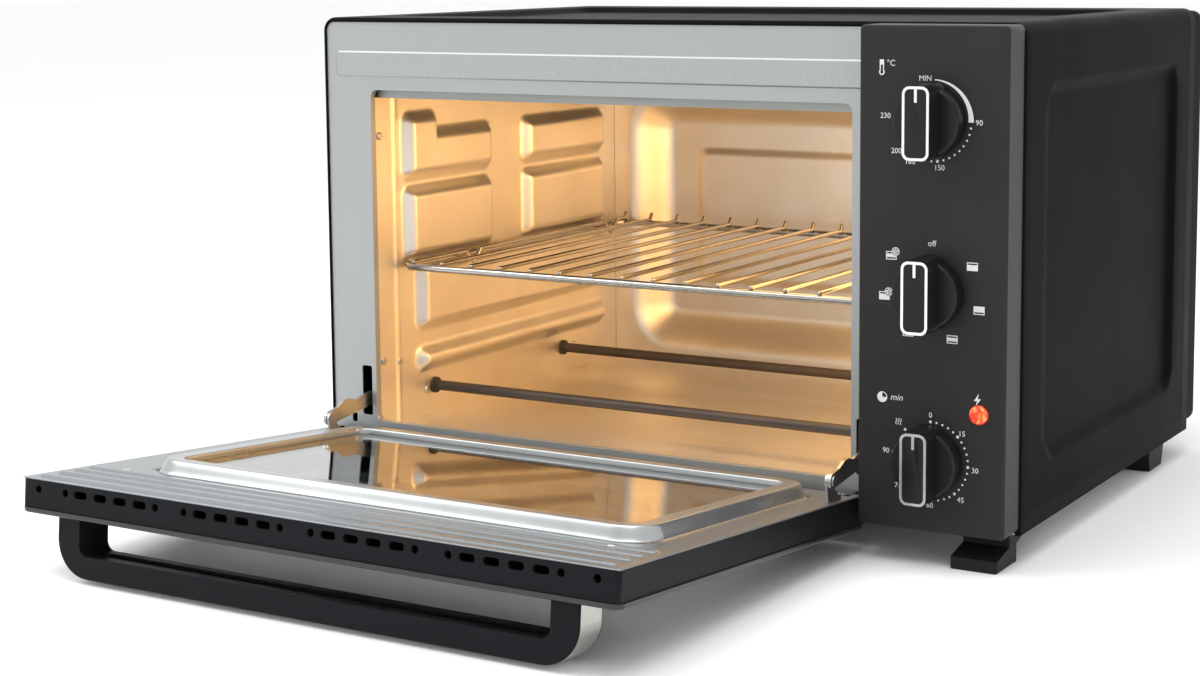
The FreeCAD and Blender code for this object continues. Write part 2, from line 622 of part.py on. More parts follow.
def make_electrics():
    """Timer bell, terminal block on the base plate, cord gland, sensor bulb."""
    timer_back = FRAME_Y + FRAME_T + SWITCH_SIZES["timer"][1]
    z = KNOB_Z[2] + 14
    bell = rod((KNOB_X + 16, timer_back, z), (KNOB_X + 16, timer_back + 10, z), 20.0)
    bell = bell.makeFillet(6.0, [e for e in bell.Edges if e.BoundBox.YMin > timer_back + 9.9])
    bell = bell.cut(rod((KNOB_X + 16, timer_back, z), (KNOB_X + 16, timer_back + 8, z), 18.0))
    post = rod((KNOB_X + 16, timer_back, z), (KNOB_X + 16, timer_back + 9, z), 2.0)
    save("timer_bell", bell.fuse(post).removeSplitter())
    block = box(GLAND_X - 22, GLAND_X + 22, BACK - 60, BACK - 40, BOTTOM + SHEET, BOTTOM + SHEET + 16)
    cups = []
    for i in (-1, 0, 1):
        x = GLAND_X + i * 13
        cups.append(rod((x, BACK - 50, BOTTOM + SHEET + 9), (x, BACK - 50, BOTTOM + SHEET + 17), 3.5))
    save("terminal_block", block.cut(Part.makeCompound(cups)))
    y1 = BACK + COVER_D
    gland = rod((GLAND_X, y1 - SHEET - 3, GLAND_Z), (GLAND_X, y1, GLAND_Z), GLAND_R)
    collar = rod((GLAND_X, y1 - SHEET - 3, GLAND_Z), (GLAND_X, y1 - SHEET, GLAND_Z), GLAND_R + 3)
    gland = gland.fuse(collar).removeSplitter()
    save("cord_gland", gland.cut(rod((GLAND_X, y1 - 9, GLAND_Z), (GLAND_X, y1 + 9, GLAND_Z), 3.6)))
    x = CX1 - 6
    stem = rod((x, BULB_Y, BULB_Z), (x, BULB_Y + 70, BULB_Z), 2.0)
    lead = rod((x, BULB_Y, BULB_Z), (CX1 + 10, BULB_Y, BULB_Z), 1.5)
    save("thermostat_bulb", stem.fuse(lead).removeSplitter())


# ---------------------------------------------------------------- fan
def make_fan():
    """Radial fan behind the right wall: blade wheel, housing cup and motor."""
    y, z = FRONT + FAN_Y, FAN_Z
    x0 = CX1 + LINER_T
    cup = rod((x0, y, z), (x0 + 20, y, z), FAN_R + 6)
    cup = cup.cut(rod((x0, y, z), (x0 + 19, y, z), FAN_R + 5))
    cup = cup.cut(rod((x0, y, z), (x0 + 25, y, z), 5.0))
    save("fan_housing", cup)
    motor = plate("X", x0 + 20, x0 + 46, (y - 24, y + 24, z - 22, z + 22), 4.0)
    coil = plate("X", x0 + 24, x0 + 42, (y - 16, y + 16, z + 22, z + 36), 3.0)
    nose = rod((x0 + 16, y, z), (x0 + 20, y, z), 4.9)
    bore = rod((x0 + 10, y, z), (x0 + 40, y, z), 2.0 + FIT)
    save("fan_motor", motor.fuse(coil).fuse(nose).removeSplitter().cut(bore))
    shaft = rod((x0 + 5, y, z), (x0 + 38, y, z), 2.0)
    hub = rod((x0 + 4, y, z), (x0 + 15, y, z), 7.0)
    disc = rod((x0 + 14, y, z), (x0 + 15, y, z), FAN_R * 0.95)
    vanes = []
    for i in range(FAN_BLADES):
        vane = box(x0 + 4, x0 + 14.5, -0.5, 0.5, 5.0, FAN_R * 0.93)
        vane.rotate(V(0, 0, 0), V(1, 0, 0), i * 360.0 / FAN_BLADES)
        vane.translate(V(0, y, z))
        vanes.append(vane)
    save("fan_wheel", hub.multiFuse([disc, shaft] + vanes).removeSplitter())


# ---------------------------------------------------------------- door
def ring_rect():
    """Base outline of the raised window frame."""
    return (OX0 + RING_GAP_LEFT, OX1 - RING_GAP_RIGHT, OZ0 + RING_GAP_BOTTOM, OZ1 - RING_GAP_TOP)


def window_rect():
    return grown(ring_rect(), -RING_W)


def notch(side):
    """Space that a lower hinge lug sweeps in the door's bottom corner."""
    x0, x1 = lug_x(side)
    return box(x0 - CLEAR, x1 + CLEAR, PIVOT_Y - 7.5, DY_IN + 1, DZ0 - 1, PIVOT_Z + 7.5)


VENT_GROUPS = 4
VENT_GROUP_PITCH = 0.22 * DOOR_W
VENT_PITCH = 14.6
VENT_HOLE_DX = 33.3
VENT_END_DX = DOOR_W / 2 - 13.35
VENT_DEPTH = 6.0     # below the door's inner face
BAFFLE_DROP = 22.0   # baffle rib below the door's top edge
BAFFLE_T = 2.0


def vents():
    """Row of slots and round holes in the door's top edge: four groups of four slots between two holes."""
    middle = (DX0 + DX1) / 2
    y = DY_IN - VENT_DEPTH
    holes = [middle - VENT_END_DX, middle + VENT_END_DX]
    slots = []
    for g in range(VENT_GROUPS):
        centre = middle + (g - (VENT_GROUPS - 1) / 2) * VENT_GROUP_PITCH
        holes += [centre - VENT_HOLE_DX, centre + VENT_HOLE_DX]
        slots += [centre + (i - 1.5) * VENT_PITCH for i in range(4)]
    cuts = [plate("Z", DZ1 - 8, DZ1 + 2, (x - 4.8, x + 4.8, y - 2.2, y + 2.2), 2.1) for x in slots]
    cuts += [rod((x, y, DZ1 - 8), (x, y, DZ1 + 2), 2.2) for x in holes]
    return Part.makeCompound(cuts)


def make_door_frame():
    """Moulded frame: thin walls, a flange behind the outer glass, a baffle rib under the vents, hinge blocks."""
    rect = (DX0 + 1, DX1 - 1, DZ0, DZ1 - 1)
    y0, y1 = SLAB_Y, DY_IN - LINER_T
    frame = plate("Y", y0, y1, rect, 3.0)
    frame = frame.cut(plate("Y", y0 + FLANGE_T, y1 + 1, grown(rect, -DOOR_WALL), 1.0))
    frame = frame.cut(plate("Y", y0 - 1, y0 + 4, grown(rect, -30.0), 6.0))
    z = DZ1 - BAFFLE_DROP
    blocks = [box(rect[0] + 1, rect[1] - 1, y0, y1, z - BAFFLE_T, z)]
    cuts = [vents()]
    for side in ("left", "right"):
        x0, x1 = lug_x(side)
        blocks.append(box(x0 - 5, x1 + 5, y0, y1, DZ0, DZ0 + 20))
        pin0, pin1 = pin_span(side)
        cuts.append(rod((pin0 - CLEAR, PIVOT_Y, PIVOT_Z), (pin1 + CLEAR, PIVOT_Y, PIVOT_Z), PIN_R + FIT))
        cuts.append(notch(side))
    frame = frame.multiFuse(blocks).removeSplitter()
    corner = prism_x([(y1 - CHAMFER, DZ0), (y1 + 1, DZ0), (y1 + 1, DZ0 + CHAMFER + 1)], DX0 - 1, DX1 + 1)
    for x in handle_legs():
        cuts.append(rod((x, y0 - 1, HANDLE_Z), (x, y0 + 5, HANDLE_Z), BOLT_R))
    return frame.cut(corner).cut(Part.makeCompound(cuts))


FLANGE_T = 2.5       # door frame's flange behind the outer glass
CHAMFER = 4.0
HANDLE_Z = DZ1 - HANDLE_BELOW - HANDLE_H / 2


def pin_span(side):
    x0, x1 = lug_x(side)
    return x0 - 3.5, x1 + 3.5


def handle_legs():
    middle = (DX0 + DX1) / 2
    reach = HANDLE_L / 2 - HANDLE_LEG / 2 - TRIM_T
    return (middle - reach, middle + reach)


SCREW_R = 1.6
RIDGES = (9.0, 21.0, 33.0)
RIDGE_W = 7.0
RIDGE_RISE = 1.2


def make_inner_panel():
    """Pressed steel inner skin: ridges along the top and a hollow raised frame round the window."""
    rect = (DX0 + 1, DX1 - 1, DZ0 + CHAMFER + 1, DZ1 - 1)
    y0, y1 = DY_IN - LINER_T, DY_IN
    skin = plate("Y", y0, y1, rect, 2.0)
    ridges = [(rect[0] + 5, rect[1] - 5, rect[3] - drop - RIDGE_W, rect[3] - drop) for drop in RIDGES]
    skin = pressed(skin, "Y", y0, 1, RIDGE_RISE, ridges, 1.5, 3.0, LINER_T)
    ring = ring_rect()
    skin = pressed(skin, "Y", y0, 1, RING_RISE, [ring], RING_DRAFT, 12.0, LINER_T)
    window = window_rect()
    skirt = plate("Y", y1 + RING_RISE - 3.8, y1 + RING_RISE, grown(window, LINER_T), 8.0 + LINER_T)
    skin = skin.fuse(skirt).cut(plate("Y", y0 - 1, y1 + RING_RISE + 1, window, 8.0))
    cuts = [notch("left"), notch("right")]
    for x, z in door_screw_spots():
        cuts.append(rod((x, y0 - 1, z), (x, y1 + 1, z), SCREW_R))
    return skin.cut(Part.makeCompound(cuts))


def door_screw_spots():
    """X and Z of the two screws above the window frame."""
    left, right, low, high = ring_rect()
    return [(left - 7.5, high + 6.5), (right - 12.0, high + 11.0)]


def make_door():
    save("door_frame", opened(make_door_frame()))
    save("door_inner_panel", opened(make_inner_panel()))
    window = window_rect()
    glass_y = DY_IN + RING_RISE - 3.8
    save("door_inner_glass", opened(plate("Y", glass_y - GLASS_T, glass_y, grown(window, GLASS_LAP), 6.0)))
    slab = plate("Y", DY_OUT, SLAB_Y, (DX0, DX1, DZ0, DZ1), SLAB_R)
    slab = slab.makeFillet(1.4, [e for e in slab.Edges if e.BoundBox.YMax < DY_OUT + 0.01])
    legs = [rod((x, DY_OUT - 1, HANDLE_Z), (x, SLAB_Y + 1, HANDLE_Z), BOLT_R) for x in handle_legs()]
    save("door_outer_glass", opened(slab.cut(Part.makeCompound(legs))))
    screws = []
    for x, z in door_screw_spots():
        shank = rod((x, DY_IN - LINER_T, z), (x, DY_IN, z), SCREW_R)
        screws.append(opened(pan_head((x, DY_IN, z), (0, 1, 0), 3.2, 1.2).fuse(shank).removeSplitter()))
    save("door_screws", screws)


# ---------------------------------------------------------------- handle
BOLT_R = 2.5
BOLT_IN = 12.0       # handle bolt inside the handle's leg


def u_shape(inset, z0, z1):
    """U outline of the handle's outer side, drawn in by an inset, from height z0 to z1, open side filled."""
    middle = (DX0 + DX1) / 2
    x0, x1 = middle - HANDLE_L / 2 + inset, middle + HANDLE_L / 2 - inset
    face, tip = DY_OUT, DY_OUT - HANDLE_OUT + inset
    r = max(HANDLE_R - inset, 1.0)
    k = r * (1 - math.sqrt(0.5))
    a, b, c, d = V(x0, face, z0), V(x0, tip + r, z0), V(x0 + k, tip + k, z0), V(x0 + r, tip, z0)
    e, f, g, h = V(x1 - r, tip, z0), V(x1 - k, tip + k, z0), V(x1, tip + r, z0), V(x1, face, z0)
    edges = [Part.LineSegment(a, b).toShape(), Part.Arc(b, c, d).toShape(), Part.LineSegment(d, e).toShape(),
             Part.Arc(e, f, g).toShape(), Part.LineSegment(g, h).toShape(), Part.LineSegment(h, a).toShape()]
    return Part.Face(Part.Wire(edges)).extrude(V(0, 0, z1 - z0))


def make_handle():
    """Moulded U-shaped bar with a brushed steel strip let into its outer side."""
    z0, z1 = HANDLE_Z - HANDLE_H / 2, HANDLE_Z + HANDLE_H / 2
    t0, t1 = HANDLE_Z - TRIM_H / 2, HANDLE_Z + TRIM_H / 2
    outer = u_shape(0, z0, z1)
    rims = [e for e in outer.Edges if e.BoundBox.ZLength < 0.01 and e.BoundBox.YMin < DY_OUT - 0.01]
    outer = outer.makeFillet(1.2, rims)
    trim = u_shape(0, t0, t1).cut(u_shape(TRIM_T, t0 - 1, t1 + 1))
    middle = (DX0 + DX1) / 2
    reach = HANDLE_L / 2 - TRIM_T - HANDLE_LEG
    x0, x1 = middle - reach, middle + reach
    floor = DY_OUT - HANDLE_OUT + TRIM_T + HANDLE_BAR
    gap = plate("Z", z0 - 1, z1 + 1, (x0, x1, floor, DY_OUT + 20), 6.0)
    handle = outer.cut(gap).cut(trim)
    groove = (x0 + 6, x1 - 6, HANDLE_Z - 5, HANDLE_Z + 5)
    handle = handle.cut(plate("Y", floor - 1.5, floor + 1, groove, 3.0))
    screws = []
    seat = SLAB_Y + FLANGE_T
    for x in handle_legs():
        shank = rod((x, seat, HANDLE_Z), (x, DY_OUT - BOLT_IN, HANDLE_Z), BOLT_R)
        screws.append(pan_head((x, seat, HANDLE_Z), (0, 1, 0), 4.5, 2.5).fuse(shank).removeSplitter())
        handle = handle.cut(shank)
    save("door_handle", opened(handle))
    save("handle_strip", opened(trim))
    save("handle_screws", [opened(s) for s in screws])


# ---------------------------------------------------------------- hinges
def shut_pin():
    """Y and Z of the arm pins with the door shut."""
    a = math.radians(-OPEN_DEG)
    y, z = -ARM_PIN_Y, ARM_PIN_Z
    return PIVOT_Y + y * math.cos(a) - z * math.sin(a), PIVOT_Z + y * math.sin(a) + z * math.cos(a)


def make_hinges():
    """Lower lugs and pins carry the door. An ear on the door holds each arm's rivet."""
    lugs, pins, ears, rivets = [], [], [], []
    for side in ("left", "right"):
        x0, x1 = lug_x(side)
        lug = prism_x([(PIVOT_Y - 4, PIVOT_Z - 4), (FRAME_Y + 20, PIVOT_Z - 4), (FRAME_Y + 20, PIVOT_Z + 4),
                       (PIVOT_Y - 4, PIVOT_Z + 4)], x0, x1)
        tab = box(x0, x1 + 12, FRAME_Y + 6, FRAME_Y + 20, BOTTOM + SHEET, BOTTOM + SHEET + 1.5)
        riser = box(x0, x1, FRAME_Y + 6, FRAME_Y + 20, BOTTOM + SHEET, PIVOT_Z)
        lug = lug.fuse(tab).fuse(riser).removeSplitter()
        pin0, pin1 = pin_span(side)
        pin = rod((pin0, PIVOT_Y, PIVOT_Z), (pin1, PIVOT_Y, PIVOT_Z), PIN_R)
        lugs.append(lug.cut(pin))
        pins.append(pin)
        ear, rivet = make_arm(side)
        ears.append(opened(ear))
        rivets.append(opened(rivet))
    save("hinge_lugs", lugs)
    save("hinge_pins", pins)
    save("arm_ears", ears)
    save("arm_rivets", rivets)


def make_arm(side):
    """Ear on the door, rivet, and the arm that runs through the frame's slot. The arm's far end is free."""
    x = arm_x(side)
    way = 1 if side == "left" else -1
    y, z = shut_pin()
    ear0, ear1 = sorted((x + way * (ARM_T / 2 + 0.3), x + way * (ARM_T / 2 + 0.3 + EAR_T)))
    base = DY_IN
    foot = box(ear0, ear1, base, base + 3, z - 16, z - 2)
    web = prism_x([(base, z - 16), (y - 3, z - 4), (y + 3.5, z - 2), (y + 3.5, z + 2), (y - 1, z + 4), (base, z + 1)],
                  ear0, ear1)
    eye = rod((ear0, y, z), (ear1, y, z), 4.2)
    ear = foot.fuse(web).fuse(eye).removeSplitter()
    hole = rod((ear0 - 1, y, z), (ear1 + 1, y, z), RIVET_R)
    shank0, shank1 = sorted((x - way * (ARM_T / 2 + 0.3), x + way * (ARM_T / 2 + 0.3 + EAR_T)))
    head0, head1 = sorted((x - way * (ARM_T / 2 + 0.3), x - way * (ARM_T / 2 + 1.1)))
    rivet = rod((shank0, y, z), (shank1, y, z), RIVET_R)
    rivet = rivet.fuse(rod((head0, y, z), (head1, y, z), RIVET_R + 1.2)).removeSplitter()
    open_y, open_z = PIVOT_Y - ARM_PIN_Y, PIVOT_Z + ARM_PIN_Z
    h = ARM_HALF
    points = [(0, -h), (ARM_L - 12, -h), (ARM_L - 12, -h + 3), (ARM_L - 6, -h + 3), (ARM_L - 4, -h), (ARM_L, -h),
              (ARM_L + 2, 0), (ARM_L, h), (34, h), (28, h - 0.6), (22, h + 2.0), (16, h + 2.2), (9, h), (0, h)]
    arm = prism_x([(open_y + u, open_z + v) for u, v in points], x - ARM_T / 2, x + ARM_T / 2)
    arm = arm.fuse(rod((x - ARM_T / 2, open_y, open_z), (x + ARM_T / 2, open_y, open_z), h)).removeSplitter()
    arm = arm.cut(rod((x - ARM_T, open_y, open_z), (x + ARM_T, open_y, open_z), RIVET_R + FIT))
    arm.rotate(V(x, open_y, open_z), V(1, 0, 0), ARM_TILT)
    save("hinge_arm_" + side, arm)
    return ear.cut(hole), rivet


# ---------------------------------------------------------------- rack
RACK_STOP = 9.0      # depth of the V-shaped stops
RACK_LIFT = 4.0      # upturned rear ends of the wires


def wire(points, radius):
    """Round wire through points, with ball joints at its bends."""
    pieces = [rod(a, b, radius) for a, b in zip(points, points[1:])]
    pieces += [Part.makeSphere(radius, V(*p)) for p in points]
    return fused(pieces)


def make_rack():
    """Welded wire rack: a closed rod frame, wires across it from front to back, and stops on the outer wires."""
    x0, x1 = OX0 + RACK_ROD + CLEAR, OX1 - RACK_ROD - CLEAR
    slope = BOSS_DRAFT / BOSS_RISE
    shelf = BOTTOM + RACK_SHELF + LINER_T
    z = shelf - slope * (x0 - CX0) + (RACK_ROD + SOFT_CLEAR) * math.hypot(1, slope)
    y0, y1 = FRONT + RACK_FRONT, FRONT + RACK_REAR
    middle = (x0 + x1) / 2
    frame = wire([(x0, y0 + 6, z), (x0 + 6, y0, z), (x1 - 6, y0, z), (x1, y0 + 6, z), (x1, y1 - 6, z),
                  (x1 - 6, y1, z), (x0 + 6, y1, z), (x0, y1 - 6, z), (x0, y0 + 6, z)], RACK_ROD)
    top = z + RACK_ROD + RACK_WIRE - 0.6
    parts = [frame]
    for i in range(RACK_WIRES):
        x = middle + (i - (RACK_WIRES - 1) / 2) * RACK_PITCH
        ends = [(x, y1 - 3, top), (x, y1 - 0.5, top + RACK_LIFT)]
        if i in (0, RACK_WIRES - 1):
            stops = []
            for y in (y0 + 72, y1 - 24):
                stops += [(x, y - 9, top), (x, y, top - RACK_STOP), (x, y + 9, top)]
            parts.append(wire([(x, y0, top)] + stops + ends, RACK_WIRE))
        else:
            parts.append(wire([(x, y0, top)] + ends, RACK_WIRE))
    return fused(parts)


# ---------------------------------------------------------------- fasteners
def make_fasteners():
    """Screws that hold the liner, the rear cover and the feet."""
    liner = []
    low = FLOOR + HEATER_LOW
    spots = [(FRONT + 12.0, CEILING - 42.5), (FRONT + 12.0, FLOOR + 46.0), (FRONT + 30.0, FLOOR + 43.0),
             (FRONT + HEATER_Y[0] - 10.0, low - 2.0), (FRONT + HEATER_Y[1] + 16.0, low)]
    for y, z in spots:
        liner.append(pan_head((CX0, y, z), (1, 0, 0), 2.6, 1.4))
        liner.append(pan_head((CX1, y, z), (-1, 0, 0), 2.6, 1.4))
    save("liner_screws", liner)
    others = []
    for x in (LEFT + COVER_SCREW_IN, RIGHT - COVER_SCREW_IN):
        for z in (BOTTOM + COVER_SCREW_IN, TOP - COVER_SCREW_IN):
            others.append(pan_head((x, BACK + COVER_D, z), (0, 1, 0), 3.4, 1.6))
    for x0 in (LEFT + FOOT_IN, RIGHT - FOOT_IN - FOOT_W):
        for y in foot_screw_lines():
            x = x0 + FOOT_W / 2
            others.append(rod((x, y, FOOT_H - FOOT_SCREW_L), (x, y, FOOT_H), FOOT_SCREW_R))
    save("case_screws", others)


save("outer_case", make_outer_case())
save("rear_cover", make_rear_cover())
save("base_plate", make_base_plate())
make_feet()
save("front_frame", make_front_frame())
save("cavity_left_wall", make_side_wall("left"))
save("cavity_right_wall", make_side_wall("right"))
save("cavity_rear_wall", make_rear_wall())
save("cavity_floor", make_floor())
save("cavity_ceiling", make_ceiling())
make_heaters()
make_controls()
save("control_panel", make_control_panel())
make_indicator()
make_electrics()
make_fan()
make_door()
make_handle()
make_hinges()
save("wire_rack", make_rack())
make_fasteners()
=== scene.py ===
"""A toaster oven's looks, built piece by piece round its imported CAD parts. Metres, in the row's own frame."""

import math

import bpy
import numpy as np
from mathutils import Matrix, Vector


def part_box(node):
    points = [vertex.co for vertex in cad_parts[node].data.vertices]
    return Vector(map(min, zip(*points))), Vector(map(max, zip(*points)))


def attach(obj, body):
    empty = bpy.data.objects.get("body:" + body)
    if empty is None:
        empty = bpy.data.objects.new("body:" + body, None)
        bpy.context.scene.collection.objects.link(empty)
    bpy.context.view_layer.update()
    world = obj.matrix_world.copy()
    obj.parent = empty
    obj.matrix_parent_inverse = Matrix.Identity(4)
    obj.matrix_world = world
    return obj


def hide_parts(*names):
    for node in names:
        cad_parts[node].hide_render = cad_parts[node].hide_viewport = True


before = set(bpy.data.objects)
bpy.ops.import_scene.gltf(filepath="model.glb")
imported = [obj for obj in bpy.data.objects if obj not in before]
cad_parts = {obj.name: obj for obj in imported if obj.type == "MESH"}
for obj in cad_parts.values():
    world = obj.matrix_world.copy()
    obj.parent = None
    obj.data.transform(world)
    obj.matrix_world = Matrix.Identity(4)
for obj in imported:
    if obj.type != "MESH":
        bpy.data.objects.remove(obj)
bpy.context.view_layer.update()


# ---------------------------------------------------------------- outer case
# A sheet-steel wrap, powder-coated black: both sides and the top in one bent piece. Its front edge is
# rolled inwards round the face plate, and each side and the top has a shallow round-cornered field
# pressed into it for stiffness.
MM = 0.001


class Link:
    """One socket of a material. Sums, differences and products of links, and their absolute values, add the
    Math nodes that work them out."""

    def __init__(self, tree, socket):
        self.tree = tree
        self.socket = socket

    def node(self, kind, settings, sockets, out=0):
        """Adds any other node: its settings first, then the values or links of its sockets."""
        made = self.tree.nodes.new(kind)
        for key, value in settings.items():
            setattr(made, key, value)
        for key, value in sockets.items():
            if isinstance(value, Link):
                self.tree.links.new(value.socket, made.inputs[key])
            else:
                made.inputs[key].default_value = value
        return Link(self.tree, made.outputs[out])

    def maths(self, operation, first, second=0.0):
        """One Math node, from its operation's name."""
        return self.node("ShaderNodeMath", {"operation": operation}, {0: first, 1: second})

    def __add__(self, other):
        return self.maths("ADD", self, other)

    def __radd__(self, other):
        return self.maths("ADD", other, self)

    def __sub__(self, other):
        return self.maths("SUBTRACT", self, other)

    def __rsub__(self, other):
        return self.maths("SUBTRACT", other, self)

    def __mul__(self, other):
        return self.maths("MULTIPLY", self, other)

    def __rmul__(self, other):
        return self.maths("MULTIPLY", other, self)

    def __abs__(self):
        return self.maths("ABSOLUTE", self)

    def within(self, low, high):
        """0 below low and 1 above high, with a smooth step between."""
        return self.node("ShaderNodeMapRange", {"interpolation_type": "SMOOTHSTEP"},
                         {"Value": self, "From Min": low, "From Max": high})


class Finish:
    """A material under way: a Principled shader, and the place on the piece that its patterns read, in metres."""

    def __init__(self, name, **sockets):
        self.material = bpy.data.materials.new(name)
        self.material.use_nodes = True
        self.tree = self.material.node_tree
        self.shader = self.tree.nodes["Principled BSDF"]
        self.place = Link(self.tree, None).node("ShaderNodeTexCoord", {}, {}, "Object")
        self.set(**sockets)

    def set(self, **sockets):
        """Sets the shader's sockets by name, with spaces written as underscores."""
        for key, value in sockets.items():
            socket = self.shader.inputs[key.replace("_", " ")]
            if isinstance(value, Link):
                self.tree.links.new(value.socket, socket)
            else:
                socket.default_value = value
        return self

    def noise(self, scale, stretch=(1, 1, 1), detail=3.0, roughness=0.55):
        """Cloudy noise from 0 to 1, with about scale lumps to the metre, drawn out by stretch."""
        turned = self.place.node("ShaderNodeMapping", {}, {"Vector": self.place, "Scale": stretch})
        return turned.node("ShaderNodeTexNoise", {},
                           {"Vector": turned, "Scale": scale, "Detail": detail, "Roughness": roughness})

    def between(self, share, first, second):
        """A colour that goes from first to second as share goes from 0 to 1. A Mix node's colour sockets come
        after its number and vector ones: 6 and 7 in, and 2 out."""
        return share.node("ShaderNodeMix", {"data_type": "RGBA"},
                          {0: share, 6: (*first, 1), 7: (*second, 1)}, 2)

    def bump(self, height, depth, strength=1.0):
        """Raises the surface by height times depth in metres, in its shading only."""
        raised = height.node("ShaderNodeBump", {},
                             {"Height": height, "Distance": depth, "Strength": strength})
        return self.set(Normal=raised)


def coat(node, finish):
    """Gives a CAD node its material."""
    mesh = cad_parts[node].data
    mesh.materials.clear()
    mesh.materials.append(finish.material)


def ease_edges(node, width, angle=35.0, segments=2):
    """Rounds a CAD node's sharp edges, as a moulding or a folded sheet has them. Its loose triangles are joined
    and its flat faces made whole first, so that only true edges sharper than angle are rounded."""
    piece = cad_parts[node]
    piece.modifiers.new("weld", "WELD").merge_threshold = 0.01 * MM
    flat = piece.modifiers.new("flat", "DECIMATE")
    flat.decimate_type = "DISSOLVE"
    flat.angle_limit = math.radians(0.5)
    edge = piece.modifiers.new("edge", "BEVEL")
    edge.width = width
    edge.segments = segments
    edge.limit_method = "ANGLE"
    edge.angle_limit = math.radians(angle)
    edge.harden_normals = True
    edge.use_clamp_overlap = True


def surface(name, points, body, finish, thick=0.0, hidden=None):
    """A mesh over a grid of points, (rows, columns, 3), one four-sided face to a cell, smooth-shaded. Cells that
    hidden marks are left out. thick gives it a wall on the side away from its normals."""
    rows, columns = points.shape[:2]
    number = np.arange(rows * columns).reshape(rows, columns)
    cells = np.stack([number[:-1, :-1], number[1:, :-1], number[1:, 1:], number[:-1, 1:]], -1)
    cells = cells[~hidden] if hidden is not None else cells.reshape(-1, 4)
    mesh = bpy.data.meshes.new(name)
    mesh.from_pydata(points.reshape(-1, 3), [], cells.reshape(-1, 4))
    mesh.polygons.foreach_set("use_smooth", np.ones(len(mesh.polygons), bool))
    mesh.update()
    mesh.materials.append(finish.material)
    piece = bpy.data.objects.new(name, mesh)
    bpy.context.scene.collection.objects.link(piece)
    if thick:
        wall = piece.modifiers.new("wall", "SOLIDIFY")
        wall.thickness = thick
        wall.offset = -1.0
    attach(piece, body)
    return piece


def steps(*spans):
    """Places along a line: each span is (from, to, how many), and each starts where the one before it ended."""
    parts = [np.linspace(a, b, n, endpoint=False) for a, b, n in spans]
    return np.concatenate(parts + [[spans[-1][1]]])


def into(u, v, rect, radius, slope):
    """How far a point is inside a round-cornered rectangle (u0, u1, v0, v1): 0 at its edge and 1 at slope inside
    it. It is the distance to the rectangle shrunk by the radius, less the radius, eased at both ends."""
    u0, u1, v0, v1 = rect
    across = np.abs(u - (u0 + u1) / 2) - (u1 - u0) / 2 + radius
    along = np.abs(v - (v0 + v1) / 2) - (v1 - v0) / 2 + radius
    corner = np.hypot(np.maximum(across, 0), np.maximum(along, 0))
    outside = corner + np.minimum(np.maximum(across, along), 0) - radius
    share = np.clip(-outside / slope, 0, 1)
    return share * share * (3 - 2 * share)


case_lo, case_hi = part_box("outer_case")
WIDTH, DEPTH = case_hi.x - case_lo.x, case_hi.y - case_lo.y
CASE_BEND, LIP, CASE_SHEET = 9 * MM, 3 * MM, 0.9 * MM   # top corners' radius, front roll's radius, thickness
FIELD_DEPTH, FIELD_CORNER, FIELD_SLOPE = 4 * MM, 18 * MM, 9 * MM
SIDE_IN, END_IN, TOP_IN = 34 * MM, 37 * MM, 30 * MM     # margins round the pressed fields


def case_black():
    """Black powder coat: a fine orange peel over a satin surface that is a little uneven in its gloss."""
    paint = Finish("case_black", Specular_IOR_Level=0.012)
    cloud = paint.noise(9, detail=4)
    paint.set(Base_Color=paint.between(cloud, (0.0040, 0.0040, 0.0039), (0.0060, 0.0060, 0.0058)))
    paint.set(Roughness=0.36 + 0.12 * paint.noise(22))
    return paint.bump(paint.noise(1500, detail=2), 0.06 * MM, 0.6)


